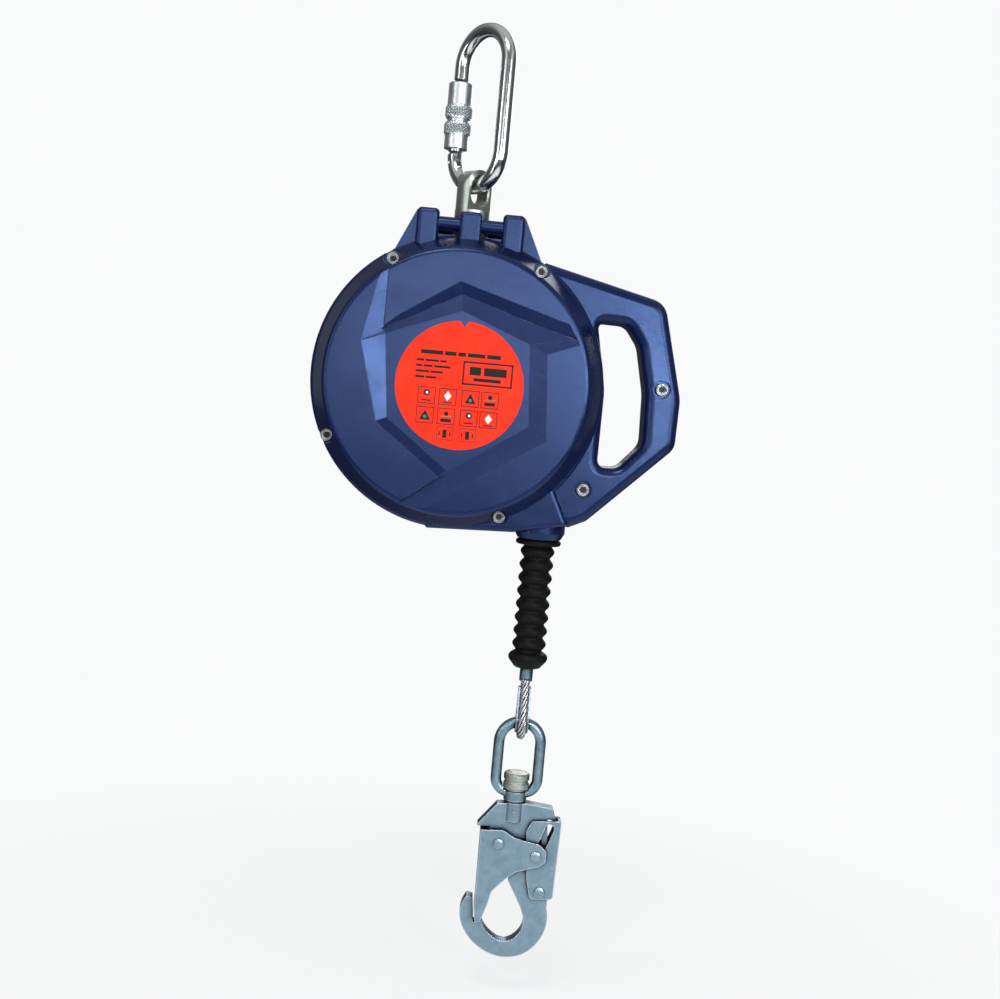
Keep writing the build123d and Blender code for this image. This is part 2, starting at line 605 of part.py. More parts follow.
nodes["brake_plate"] = brake_plate()
nodes["brake_linings"] = Compound([ring_y(LINING_R1, LINING_R0, -27.5, -26.0),
                                   ring_y(LINING_R1, LINING_R0, -21.0, -19.5)])
nodes["ratchet_ring"] = ratchet_ring()
nodes["pressure_ring"] = drilled(ring_y(BRAKE_BOLT_R + 4.5, LINING_R0, -19.5, -18.0))
nodes["brake_bolts"] = Compound([
    bar_y(*polar(BRAKE_BOLT_R, a), 2.0, -PLATE_Y, -17.6) + bar_y(*polar(BRAKE_BOLT_R, a), 3.0, -32.0, -PLATE_Y)
    for a in BRAKE_BOLT_ANGLES])
nodes["brake_spacers"] = Compound([
    slab(Pos(*polar(BRAKE_BOLT_R, a)) * (Circle(3.3) - Circle(2.05)), -27.5, -19.5) for a in BRAKE_BOLT_ANGLES])
nodes["pawl_right"] = pawl(1)
nodes["pawl_left"] = pawl(-1)
nodes["pawl_pins"] = Compound([pawl_pin(1), pawl_pin(-1)])
nodes["pawl_springs"] = Compound([pawl_spring(1), pawl_spring(-1)])


# ---- carabiner ----------------------------------------------------------------------------------------------
def in_plane(solid):
    """A carabiner piece drawn with its plane on X-Z, turned to stand in the eye."""
    return Rot(0, 0, EYE_TURN) * solid


def carabiner_body():
    """The oval rod, forked at the gate hinge and with a flat latch tongue at the nose."""
    top, low = OVAL_HIGH_Z, OVAL_LOW_Z
    nose = Line((-OVAL_R, 0, NOSE_Z), (-OVAL_R, 0, top))
    over = ThreePointArc((-OVAL_R, 0, top), (0, 0, top + OVAL_R), (OVAL_R, 0, top))
    spine = Line((OVAL_R, 0, top), (OVAL_R, 0, low))
    under = ThreePointArc((OVAL_R, 0, low), (0, 0, low - OVAL_R), (-OVAL_R, 0, low))
    path = Wire([nose, over, spine, under])
    rod = sweep(Plane(origin=(-OVAL_R, 0, NOSE_Z), z_dir=(0, 0, 1)) * Circle(ROD_R), path=path)
    rod = rod - block(-35, -15.5, -2.2, 2.2, GATE_PIVOT_Z - 5.6, low + 1)
    rod = rod - bar_y(GATE_PIVOT_U, GATE_PIVOT_Z, 1.5, -9, 9)
    tongue = block(-OVAL_R - 4.2, -OVAL_R + 4.2, -2, 2, NOSE_Z - 8, NOSE_Z + 3)
    return rod + tongue


def carabiner_gate():
    """The straight gate with its hinge tongue, spring bore and latch slot."""
    u = -OVAL_R
    rod = bar_z(u, 0, ROD_R, GATE_PIVOT_Z + 7.6, NOSE_Z - 2)
    tongue = slab(Pos(u + 0.2, GATE_PIVOT_Z + 6) * Rectangle(8, 12) +
                  Pos(GATE_PIVOT_U, GATE_PIVOT_Z) * Circle(4.2), -2, 2)
    gate = rod + tongue
    gate = gate - block(u - 9, u + 9, -2.3, 2.3, NOSE_Z - 11, NOSE_Z + 2)
    gate = gate - bar_z(u, 0, 2.5, GATE_PIVOT_Z + 12, GATE_PIVOT_Z + 36)
    return gate - bar_y(GATE_PIVOT_U, GATE_PIVOT_Z, 1.5 + RUN, -9, 9)


def lock_sleeve():
    """The twist-lock sleeve with its latch slot, two raised grip bands and a groove between them."""
    z0, z1 = SLEEVE_Z0, SLEEVE_Z1
    body = turned_z([(ROD_R + 0.08, z0), (SLEEVE_R - 0.8, z0), (SLEEVE_R - 0.3, z0 + 0.6),
                     (SLEEVE_R - 0.3, z0 + 9), (SLEEVE_R, z0 + 9.5), (SLEEVE_R, z0 + 18), (SLEEVE_R - 1.1, z0 + 18.8),
                     (SLEEVE_R - 1.1, z0 + 20.2), (SLEEVE_R, z0 + 21), (SLEEVE_R, z0 + 29.5),
                     (SLEEVE_R - 0.3, z0 + 30), (SLEEVE_R - 0.3, z1 - 0.6), (SLEEVE_R - 0.8, z1),
                     (ROD_R + 0.08, z1)], -OVAL_R)
    return body - block(-OVAL_R - 12, -OVAL_R, -2.4, 2.4, NOSE_Z - 11, z1 + 1)


def gate_spring():
    """The coil in the gate's bore."""
    return coil(1.9, 0.4, 2.2, 9, Pos(-OVAL_R, 0, GATE_PIVOT_Z + 14.5))


nodes["carabiner_body"] = in_plane(carabiner_body())
nodes["carabiner_gate"] = in_plane(carabiner_gate())
nodes["carabiner_gate_pin"] = in_plane(bar_y(GATE_PIVOT_U, GATE_PIVOT_Z, 1.5, -4.4, 4.4))
nodes["carabiner_gate_spring"] = in_plane(gate_spring())
nodes["lock_sleeve"] = in_plane(lock_sleeve())


# ---- outlet, rope end and bumper ----------------------------------------------------------------------------
def cable_guide():
    """The low-friction bush in the outlet, flared at both mouths."""
    return turned_z([(ROPE_R + 1.6, -74), (GUIDE_R, -74), (GUIDE_R, NOZZLE_Z), (ROPE_R + 1.6, NOZZLE_Z),
                     (ROPE_R + 0.3, NOZZLE_Z + 2), (ROPE_R + 0.3, -76)], ROPE_X)


def cable_bumper():
    """The ribbed rubber bumper with its flanges, bored for the rope and for the ferrule."""
    bore = ROPE_R + 0.4
    wide = FERRULE_R + 0.25
    top = BUMPER_TOP_Z
    shape = turned_z([(bore, top), (BUMPER_FLANGE_R - 1, top), (BUMPER_FLANGE_R, top - 1),
                      (BUMPER_FLANGE_R - 0.3, top - 2.6), (12.4, top - 3.2), (12.2, top - 5.0), (VALLEY_R, top - 5.6),
                      (VALLEY_R, -181.5), (12.0, -183.0), (13.5, -185.5), (13.0, -187.5), (10.0, -190.5),
                      (8.6, BUMPER_Z), (wide, BUMPER_Z),
                      (wide, FERRULE_Z1 + 0.6), (bore, FERRULE_Z1 + 1.6)], ROPE_X)
    for i in range(RIBS):
        z = FIRST_RIB_Z - i * RIB_PITCH
        rib = turned_z([(VALLEY_R - 1, z + 3.3), (VALLEY_R, z + 3.3), (RIB_R - 0.9, z + 2.2), (RIB_R, z + 1.1),
                        (RIB_R, z - 1.1), (RIB_R - 0.9, z - 2.2), (VALLEY_R, z - 3.3), (VALLEY_R - 1, z - 3.3)],
                       ROPE_X)
        shape = shape + rib
    return shape


def loop_rod(radius):
    """The rope's eye as a round rod of the given radius, in the (y, z) plane at the rope's axis."""
    bend = THIMBLE_R + THIMBLE_T + ROPE_R + 0.05
    top = FERRULE_Z0
    start_y = ROPE_R + 0.1
    drop = top - LOOP_Z
    reach = math.hypot(drop, start_y)
    spread = math.acos(bend / reach) - math.atan2(start_y, drop)
    y, z = bend * math.sin(spread), LOOP_Z + bend * math.cos(spread)
    ring = Pos(0, 0, LOOP_Z) * Rot(0, 90, 0) * Torus(bend, radius)
    far = 4 * bend
    wedge = Plane.YZ * poly((0, LOOP_Z), (far * math.sin(spread), LOOP_Z + far * math.cos(spread)),
                            (0, LOOP_Z + far), (-far * math.sin(spread), LOOP_Z + far * math.cos(spread)))
    rod = ring - extrude(wedge, 20, both=True)
    for side in (-1, 1):
        foot = Vector(0, side * y, z)
        leg = Vector(0, side * start_y, top) - foot
        rod += Plane(origin=foot, z_dir=leg) * Cylinder(
            radius, leg.length + 2, align=(Align.CENTER, Align.CENTER, Align.MIN))
    return Pos(ROPE_X, 0, 0) * (rod - block(-9, 9, -9, 9, top - 0.02, top + 9))


def rope_loop():
    """The rope's eye round the thimble, ending at the ferrule."""
    return loop_rod(ROPE_R - 0.05)


def thimble():
    """The steel thimble: a sheet bent round inside the rope's eye and grooved for it."""
    r0, r1 = THIMBLE_R, THIMBLE_R + 2 * THIMBLE_T
    top = FERRULE_Z0 - 4
    width = 4.4
    outer = Plane.YZ * (Pos(0, LOOP_Z) * Circle(r1) + poly((-r1, LOOP_Z), (r1, LOOP_Z), (3.6, top), (-3.6, top)))
    inner = Plane.YZ * (Pos(0, LOOP_Z) * Circle(r0) +
                        poly((-r0, LOOP_Z), (r0, LOOP_Z), (1.2, top + 1), (-1.2, top + 1)))
    band = extrude(outer, width, both=True) - extrude(inner, width + 1, both=True)
    return Pos(ROPE_X, 0, 0) * band - loop_rod(ROPE_R + 0.05)


def ferrule():
    """The pressed sleeve that closes the rope's eye."""
    return turned_z([(0, FERRULE_Z0), (FERRULE_R - 0.8, FERRULE_Z0), (FERRULE_R, FERRULE_Z0 + 0.8),
                     (FERRULE_R, FERRULE_Z1 - 0.8), (FERRULE_R - 0.8, FERRULE_Z1), (0, FERRULE_Z1)], ROPE_X)


nodes["cable_guide"] = cable_guide()
nodes["cable_bumper"] = cable_bumper()
nodes["lifeline_rope"] = bar_z(ROPE_X, 0, ROPE_R - 0.05, FERRULE_Z1, -1.0)
nodes["ferrule"] = ferrule()
nodes["rope_loop"] = rope_loop()
nodes["thimble"] = thimble()


# ---- link and swivel ----------------------------------------------------------------------------------------
def bend_rod(cx, cz, bend, low_angle, high_angle):
    """A bent stretch of the link's rod: part of a ring about (cx, cz), between two angles."""
    ring = Pos(cx, 0, cz) * Rot(90, 0, 0) * Torus(bend, LINK_ROD_R)
    reach = 3 * bend
    corners = [(cx, cz)]
    for i in range(5):
        px, pz = polar(reach, low_angle + (high_angle - low_angle) * i / 4)
        corners.append((cx + px, cz + pz))
    return ring & slab(poly(*corners), -20, 20)


def hook_link():
    """The long link: a bent rod welded to the swivel collar at its lower end."""
    w, low, bend = LINK_HALF_W, LINK_LOW_Z, 9.5
    seat = low - bend
    body = bend_rod(0, LINK_TOP_Z, w, 0, 180)
    for side in (-1, 1):
        body += bar_z(side * w, 0, LINK_ROD_R, low, LINK_TOP_Z)
        angles = (-90, 0) if side > 0 else (180, 270)
        body += bend_rod(side * (w - bend), low, bend, *angles)
    body += Pos(0, 0, seat) * Rot(0, 90, 0) * Cylinder(LINK_ROD_R, 2 * (w - bend))
    collar = bar_z(0, 0, COLLAR_R, COLLAR_Z0, COLLAR_Z1)
    collar = chamfer(collar.edges().filter_by(GeomType.CIRCLE), 0.7)
    body = body + collar
    body = body - bar_z(0, 0, STEM_R + RUN, -300, -265)
    body = body - bar_z(0, 0, HEAD_R + 0.6, COLLAR_Z1, -262)
    return Pos(ROPE_X, 0, 0) * body


def swivel_stem():
    """The swivel stem: a domed head above the collar and a cross-drilled stub in the hook's socket."""
    return turned_z([(0, -265.5), (5.0, -265.7), (8.0, -266.6), (HEAD_R, -267.6), (HEAD_R, -271.0),
                     (HEAD_R - 0.8, -271.8), (HEAD_R - 0.8, -273.0), (HEAD_R, -273.8), (HEAD_R, -277.0),
                     (HEAD_R - 0.7, -278.0), (STEM_R, -278.0), (STEM_R, -299.0), (0, -299.0)], ROPE_X) \
        - bar_y(ROPE_X, STEM_PIN_Z, STEM_PIN_R + 0.05, -20, 20)


nodes["hook_link"] = hook_link()
nodes["swivel_stem"] = swivel_stem()
nodes["swivel_ring"] = turned_z([(STEM_R + RUN, -278.9), (7.2, -278.9), (7.2, -278.1),
                                 (STEM_R + RUN, -278.1)], ROPE_X)


# ---- hook ---------------------------------------------------------------------------------------------------
def hook_body():
    """The forged hook: socket for the stem, spine, throat and nose, slotted for the gate's pin."""
    outline = Curve() + [
        Line((-6.2, -288), (-12, -288.5)),
        Line((-12, -288.5), (-24.5, -304)),
        Line((-24.5, -304), (-24.5, -305.4)),
        Line((-24.5, -305.4), (-15, -305.4)),
        ThreePointArc((-15, -305.4), (-18.5, -312), (-14.5, -319.5)),
        Line((-14.5, -319.5), (-1, -330)),
        Line((-1, -330), (0.5, -343)),
        Spline((0.5, -343), (11, -362), (13.4, -374), (2, -386.2), (-9, -382), (-15.6, -372.6)),
        Line((-15.6, -372.6), (-21.4, -374.2)),
        Line((-21.4, -374.2), (-23.3, -356.5)),
        Line((-23.3, -356.5), (-27.5, -355.5)),
        Spline((-27.5, -355.5), (-31.2, -370.5), (-23.4, -385.5), (-1, -397.4), (14, -395),
               (28.6, -378), (29.0, -361)),
        Line((29.0, -361), (29.2, -353)),
        Line((29.2, -353), (24.1, -298.6)),
        Line((24.1, -298.6), (24.1, -296.4)),
        Line((24.1, -296.4), (29.5, -296.4)),
        Line((29.5, -296.4), (27, -289.2)),
        Line((27, -289.2), (8.5, -286.9)),
        Line((8.5, -286.9), (6.2, -287.2)),
        Line((6.2, -287.2), (-6.2, -288)),
    ]
    body = slab(make_face(outline), -HOOK_HALF, HOOK_HALF)
    body = fillet(by_depth(body, HOOK_HALF), HOOK_EDGE)
    body = body + bar_z(0, 0, SOCKET_TUBE_R, -300.5, -287.2)
    body = body - bar_z(0, 0, STEM_R, -299.0, -280)
    body = body - bar_y(0, STEM_PIN_Z, STEM_PIN_R + 0.05, -20, 20)
    body = body - bar_y(*GATE_PIVOT, PIN_R, -20, 20)
    body = body - bar_y(*LEVER_PIVOT, PIN_R, -20, 20)
    body = body - pin_track(LOCK_PIN, GATE_PIVOT, GATE_SWING, 1.2)
    for centre in (GATE_PIVOT, LEVER_PIVOT):
        body = body - bar_y(*centre, 6.6, -2.6, 2.6)
    return body


def stem_pin():
    """The cross pin that locks the stem in the socket, with rounded ends standing a little proud."""
    pin = bar_y(ROPE_X, STEM_PIN_Z, STEM_PIN_R, -SOCKET_TUBE_R - 1, SOCKET_TUBE_R + 1)
    return fillet(pin.edges().filter_by(GeomType.CIRCLE), 0.9)


def pin_track(pin, centre, swing, over):
    """The curved slot that a pin sweeps about a centre, with a little over-travel at both ends."""
    arc = ThreePointArc(turn(pin, centre, -over), turn(pin, centre, swing / 2), turn(pin, centre, swing + over))
    return slab(SlotArc(arc, 2 * (PIN_R + PIN_PLAY)), -20, 20)


def cheeks(face, inside_y):
    """Both side cheeks of a folded sheet part."""
    return slab(face, -inside_y - SHEET, -inside_y) + slab(face, inside_y, inside_y + SHEET)


def hook_gate():
    """The gate: folded sheet, closed towards the throat's mouth and hinged at the top."""
    face = soft_poly((-22, -306.9, 0), (-6, -306.2, 4), (1.8, -310.8, 5), (9, -312.4, 5), (20, -314.2, 5),
                     (25.2, -319, 3.4), (25, -326.5, 3.4), (20.5, -330, 3.4), (5.4, -334.5, 4), (-1.5, -340, 4),
                     (-10.8, -350, 6), (-12.3, -358, 0), (-16.7, -371.6, 0), (-20.3, -373.6, 0), (-21.6, -366, 0))
    fold = slab(poly((-22, -306.9), (-19.8, -306.9), (-19.2, -367), (-19.0, -370.8), (-20.6, -371.8),
                     (-21.6, -366)), -GATE_IN - 0.5, GATE_IN + 0.5)
    gate = cheeks(face, GATE_IN) + fold
    gate = gate - bar_y(*GATE_PIVOT, PIN_R + RUN, -20, 20)
    return gate - bar_y(*LOCK_PIN, PIN_R, -20, 20)


def lock_lever():
    """The lock lever: folded sheet, closed along the hook's back, slotted for the gate's pin."""
    face = soft_poly((9.8, -305.7, 4), (13.2, -298.4, 4), (33.9, -297.4, 1.8), (32.4, -353, 2.5), (16.3, -354, 3),
                     (13.0, -340, 4))
    fold = slab(poly((32.0, -298.2), (33.85, -298.2), (32.45, -352.2), (30.6, -352.2)), -LEVER_IN - 0.4,
                LEVER_IN + 0.4)
    lever = cheeks(face, LEVER_IN) + fold
    start, middle, end = [lever_frame_pin(t) for t in (-0.06, 0.75, 1.6)]
    slot = SlotArc(ThreePointArc(start, middle, end), 2 * (PIN_R + LEVER_PLAY))
    lever = lever - slab(slot, -20, 20)
    return lever - bar_y(*LEVER_PIVOT, PIN_R + RUN, -20, 20)


def lever_frame_pin(part):
    """Where the gate's pin stands, seen from the lever, when the lever has gone part of its way."""
    pin = turn(LOCK_PIN, GATE_PIVOT, part * GATE_SWING)
    return turn(pin, LEVER_PIVOT, -part * LEVER_SWING)


def rivet(centre, reach, head=4.0):
    """A rivet along Y with a low domed head on each side."""
    dome = turned_y([(0, -reach - 1.5), (head * 0.55, -reach - 1.3), (head * 0.9, -reach - 0.7), (head, -reach),
                     (0, -reach)])
    both = bar_y(0, 0, PIN_R, -reach, reach) + dome + mirror(dome, Plane.XZ)
    return Pos(centre[0], 0, centre[1]) * both


def torsion_spring(centre):
    """A small torsion coil round a rivet."""
    return coil(4.3, 0.6, 1.3, 2.6, Pos(centre[0], 1.7, centre[1]) * Rot(90, 0, 0))


def on_rope(solid):
    """A hook piece drawn about x = 0, moved under the rope."""
    return Pos(ROPE_X, 0, 0) * solid


nodes["hook_body"] = on_rope(hook_body())
nodes["stem_pin"] = stem_pin()
nodes["hook_gate"] = on_rope(hook_gate())
nodes["lock_lever"] = on_rope(lock_lever())
nodes["gate_rivet"] = on_rope(rivet(GATE_PIVOT, GATE_IN + SHEET + RUN))
nodes["lever_rivet"] = on_rope(rivet(LEVER_PIVOT, LEVER_IN + SHEET + RUN))
nodes["lock_pin"] = on_rope(rivet(LOCK_PIN, GATE_IN + SHEET))
nodes["gate_spring"] = on_rope(torsion_spring(GATE_PIVOT))
nodes["lever_spring"] = on_rope(torsion_spring(LEVER_PIVOT))


os.makedirs("parts", exist_ok=True)
for name, shape in nodes.items():
    export_step(shape, f"parts/{name}.step")
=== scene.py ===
"""Looks for the self retracting lifeline, built round the CAD frame, in metres."""
import bpy
import bmesh
import json
import math
from mathutils import Matrix, Vector


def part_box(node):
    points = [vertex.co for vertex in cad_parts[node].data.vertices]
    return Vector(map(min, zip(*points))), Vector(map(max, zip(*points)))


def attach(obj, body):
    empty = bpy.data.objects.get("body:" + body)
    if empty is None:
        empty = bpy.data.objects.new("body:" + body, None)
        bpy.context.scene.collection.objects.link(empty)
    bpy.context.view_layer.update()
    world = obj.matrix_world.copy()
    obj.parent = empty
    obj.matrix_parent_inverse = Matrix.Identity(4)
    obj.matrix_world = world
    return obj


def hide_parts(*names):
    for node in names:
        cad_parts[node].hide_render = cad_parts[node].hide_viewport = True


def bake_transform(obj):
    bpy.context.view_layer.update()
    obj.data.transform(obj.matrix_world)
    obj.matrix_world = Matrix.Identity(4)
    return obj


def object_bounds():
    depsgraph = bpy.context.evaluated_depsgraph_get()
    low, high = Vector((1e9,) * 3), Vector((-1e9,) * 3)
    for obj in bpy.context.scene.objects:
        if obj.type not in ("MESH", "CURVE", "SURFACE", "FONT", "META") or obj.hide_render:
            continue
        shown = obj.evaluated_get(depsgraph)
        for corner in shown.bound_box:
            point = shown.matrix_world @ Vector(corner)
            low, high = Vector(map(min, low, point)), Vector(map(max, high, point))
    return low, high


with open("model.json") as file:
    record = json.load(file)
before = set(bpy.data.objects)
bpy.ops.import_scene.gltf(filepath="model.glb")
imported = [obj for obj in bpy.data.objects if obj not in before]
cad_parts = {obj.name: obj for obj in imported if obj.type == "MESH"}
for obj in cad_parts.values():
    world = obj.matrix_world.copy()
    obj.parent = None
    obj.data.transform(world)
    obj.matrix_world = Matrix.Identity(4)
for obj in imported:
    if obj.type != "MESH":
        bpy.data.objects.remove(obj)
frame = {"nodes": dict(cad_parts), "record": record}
cad_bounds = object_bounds()
NODES = frame["nodes"]
MM = 0.001


# ---- shader helper ---------------------------------------------------------------------------------------
class Shader:
    """A small wrapper that keeps material code short: each call adds one node and returns its output."""

    def __init__(self, name, **principled):
        self.material = bpy.data.materials.new(name)
        self.material.use_nodes = True
        self.tree = self.material.node_tree
        self.bsdf = self.tree.nodes["Principled BSDF"]
        for key, value in principled.items():
            self.put(key.replace("_", " "), value)

    def put(self, socket, value):
        """Sets or links one input of the surface shader."""
        self.feed(self.bsdf.inputs[socket], value)

    def feed(self, target, value):
        """Links a socket, or sets a colour or a plain value."""
        if isinstance(value, bpy.types.NodeSocket):
            self.tree.links.new(value, target)
        elif isinstance(value, tuple) and len(value) == 3 and target.type == "RGBA":
            target.default_value = (*value, 1.0)
        else:
            target.default_value = value

    def node(self, kind, output=0, settings=None, **inputs):
        """Adds a node, feeds its inputs by name, and returns one output."""
        made = self.tree.nodes.new("ShaderNode" + kind)
        for key, value in (settings or {}).items():
            setattr(made, key, value)
        for key, value in inputs.items():
            index = int(key[1:]) if key[0] == "i" and key[1:].isdigit() else key.replace("_", " ")
            self.feed(made.inputs[index], value)
        return made.outputs[output]

    def place(self, scale=(1, 1, 1)):
        """Object coordinates in metres, stretched by scale."""
        where = self.node("TexCoord", 3)
        return self.node("Mapping", Vector=where, Scale=scale)

    def noise(self, scale, detail=3.0, rough=0.55, stretch=(1, 1, 1), distort=0.0):
        """A fractal noise value between 0 and 1; scale is in cells per metre."""
        return self.node("TexNoise", Vector=self.place(stretch), Scale=scale, Detail=detail,
                         Roughness=rough, Distortion=distort)

    def span(self, value, low, high, start=0.0, end=1.0):
        """Maps a value from one range to another and clamps it."""
        return self.node("MapRange", Value=value, i1=low, i2=high, i3=start, i4=end)

    def math(self, operation, a, b=0.5):
        """One arithmetic step."""
        return self.node("Math", settings={"operation": operation}, i0=a, i1=b)

    def mix(self, share, first, second):
        """Blends two colours."""
        return self.node("Mix", 2, settings={"data_type": "RGBA"}, i0=share, i6=first, i7=second)

    def edges(self, radius, low=0.02, high=0.25):
        """1 along edges, 0 on open surfaces, from how far the rounded normal turns away."""
        rounded = self.node("Bevel", settings={"samples": 4}, Radius=radius)
        flat = self.node("NewGeometry", 1)
        dot = self.node("VectorMath", 1, settings={"operation": "DOT_PRODUCT"}, i0=rounded, i1=flat)
        return self.span(self.math("SUBTRACT", 1.0, dot), low, high)

    def crevices(self, reach, onset=0.75, full=0.15):
        """1 in narrow gaps and inside corners, 0 in the open; onset and full are shares of open sky. The
        materials use it to paint shade into their colour.
        """
        open_share = self.node("AmbientOcclusion", 1, settings={"samples": 8}, Distance=reach)
        return self.span(open_share, onset, full)

    def relief(self, height, distance, strength=1.0, radius=0.0):
        """Feeds the surface normal with a bump, over edges rounded by radius."""
        inputs = {"Height": height, "Distance": distance, "Strength": strength}
        if radius:
            inputs["Normal"] = self.node("Bevel", settings={"samples": 4}, Radius=radius)
        self.put("Normal", self.node("Bump", **inputs))


# ---- materials -------------------------------------------------------------------------------------------
def moulded_nylon(name, deep, pale, rough):
    """Satin moulded nylon: spark-eroded grain, soft colour drift, paler edges that are partly rubbed wear
    and partly a painted highlight, and painted shade in the crevices.
    """
    s = Shader(name, IOR=1.5, Specular_IOR_Level=0.75, Specular_Tint=(0.31, 0.46, 0.97))
    drift = s.span(s.noise(14, 2), 0.35, 0.65)
    body = s.mix(drift, deep, pale)
    # Paler edges: partly rubbed wear, partly a painted highlight along the crests.
    rub = s.math("MULTIPLY", s.edges(0.9 * MM, 0.03, 0.30), s.span(s.noise(160, 4), 0.42, 0.66))
    pale_edge_wear_and_highlight = (0.085, 0.125, 0.26)
    # Painted shade: the colour goes near-black in recesses, pockets and the gaps between parts.
    shaded = s.mix(s.crevices(7.0 * MM, 0.88, 0.42), body, (0.0015, 0.0015, 0.003))
    s.put("Base Color", s.mix(s.math("MULTIPLY", rub, 0.75), shaded, pale_edge_wear_and_highlight))
    smear = s.span(s.noise(42, 4, stretch=(1, 1, 1.6)), 0.3, 0.7, rough - 0.03, rough + 0.04)
    s.put("Roughness", s.math("ADD", smear, s.math("MULTIPLY", rub, 0.12)))
    s.relief(s.noise(2300, 2, 0.6), 0.045 * MM, 0.55, radius=0.55 * MM)
    return s.material


def black_rubber(name):
    """Matt moulded rubber with fine pores and a trace of dust in patches."""
    s = Shader(name, IOR=1.45, Specular_IOR_Level=0.14)
    dust = s.span(s.noise(90, 5), 0.52, 0.8, 0.0, 0.55)
    s.put("Base Color", s.mix(dust, (0.0035, 0.0035, 0.0038), (0.011, 0.0105, 0.010)))
    s.put("Roughness", s.span(s.noise(260, 3), 0.3, 0.7, 0.42, 0.60))
    s.relief(s.noise(1700, 3), 0.05 * MM, 0.5, radius=0.3 * MM)
    return s.material


def bright_metal(name, colour, shade, rough, streak=(1, 1, 1), scale=400, bump=0.012, tint=None):
    """Metal with fine working marks, uneven brightness and brighter handled edges."""
    edge = 0.4
    s = Shader(name, Metallic=1.0)
    cloud = s.span(s.noise(55, 4), 0.3, 0.7)
    tone = s.mix(cloud, colour, shade)
    if tint:
        tone = s.mix(s.span(s.noise(120, 3, distort=0.6), 0.55, 0.75, 0.0, 0.5), tone, tint)
    rim = s.edges(edge * MM, 0.03, 0.3)
    brighter = tuple(min(1.0, c * 1.18) for c in colour)
    s.put("Base Color", s.mix(s.math("MULTIPLY", rim, 0.6), tone, brighter))
    marks = s.noise(scale, 4, 0.6, stretch=streak)
    s.put("Roughness", s.span(marks, 0.3, 0.7, rough * 0.75, rough * 1.35))
    s.relief(marks, bump * MM, 0.6, radius=edge * MM)
    return s.material


def zinc_plate(name):
    """Bluish bright zinc over pressed or forged steel: cloudy and faintly pitted, with a painted highlight
    along the edges and painted shade in the crevices.
    """
    s = Shader(name, Metallic=1.0)
    cloud = s.span(s.noise(130, 5, 0.6, distort=0.5), 0.34, 0.66)
    tone = s.mix(cloud, (0.195, 0.300, 0.380), (0.270, 0.380, 0.460))
    # Painted highlight: the colour is pushed to near-white along the edges.
    rim = s.edges(1.1 * MM, 0.010, 0.10)
    plated = s.mix(s.math("MULTIPLY", rim, 0.85), tone, (0.90, 0.95, 0.98))
    # Painted shade: the colour goes near-black in crevices and at the steps between the plates.
    s.put("Base Color", s.mix(s.crevices(6.0 * MM, 0.93, 0.52), plated, (0.012, 0.016, 0.022)))
    s.put("Roughness", s.span(s.noise(340, 4), 0.3, 0.7, 0.26, 0.44))
    pits = s.node("TexVoronoi", Vector=s.place(), Scale=900.0)
    skin = s.math("ADD", s.noise(700, 4), s.span(pits, 0.0, 0.35, -0.5, 0.0))
    s.relief(skin, 0.03 * MM, 0.6, radius=0.5 * MM)
    return s.material


def blacked_screw(name):
    """Black-oxide screw steel with the oxide rubbed off its rims, and painted shade in its socket and next
    to its pocket.
    """
    s = Shader(name, Specular_IOR_Level=0.25)
    rub = s.math("MULTIPLY", s.edges(0.9 * MM, 0.006, 0.05), s.span(s.noise(500, 3), 0.1, 0.3))
    oxide = s.mix(rub, (0.022, 0.022, 0.026), (0.95, 0.96, 0.98))
    # Painted shade: the colour goes near-black in the socket and beside the pocket walls.
    s.put("Base Color", s.mix(s.crevices(3.0 * MM, 0.55, 0.25), oxide, (0.004, 0.004, 0.005)))
    s.put("Metallic", rub)
    s.put("Roughness", s.span(s.noise(900, 3), 0.3, 0.7, 0.30, 0.5))
    s.relief(s.noise(1500, 3), 0.02 * MM, 0.6, radius=0.35 * MM)
    return s.material


def satin_sleeve(name):
    """Bead-blasted and plated steel of the twist-lock sleeve: pale, satin, rubbed bright on high spots,
    with painted shade in the knurl's grooves.
    """
    s = Shader(name, Metallic=1.0)
    cloud = s.span(s.noise(200, 4), 0.3, 0.7)
    rim = s.edges(0.3 * MM, 0.03, 0.3)
    pale = s.mix(cloud, (0.72, 0.76, 0.78), (0.82, 0.85, 0.87))
    rubbed = s.mix(rim, pale, (0.95, 0.96, 0.97))
    # Painted shade: the colour darkens in the knurl's grooves and narrow gaps.
    s.put("Base Color", s.mix(s.crevices(2.0 * MM, 0.85, 0.45), rubbed, (0.08, 0.09, 0.10)))
    s.put("Roughness", s.span(s.noise(1200, 3), 0.3, 0.7, 0.28, 0.42))
    s.relief(s.noise(2600, 2), 0.02 * MM, 0.6, radius=0.25 * MM)
    return s.material


def galvanised_wire(name):
    """Drawn wire: each strand is made of fine helical wires, drawn here as ridges along the strand, with
    painted shade in the gaps between strands.
    """
    s = Shader(name, Metallic=1.0)
    wire = s.mix(s.span(s.noise(300, 3), 0.3, 0.7), (0.40, 0.41, 0.42), (0.70, 0.71, 0.72))
    # Painted shade: the colour goes near-black in the gaps between strands.
    s.put("Base Color", s.mix(s.crevices(2.0 * MM, 0.90, 0.50), wire, (0.012, 0.012, 0.012)))
    s.put("Roughness", s.span(s.noise(900, 3), 0.3, 0.7, 0.22, 0.4))
    twist = s.node("TexWave", Vector=s.node("TexCoord", 2), Scale=14.0, Distortion=0.4,
                   settings={"bands_direction": "DIAGONAL"}, output=1)
    s.relief(twist, 0.18 * MM, 0.9)
    return s.material


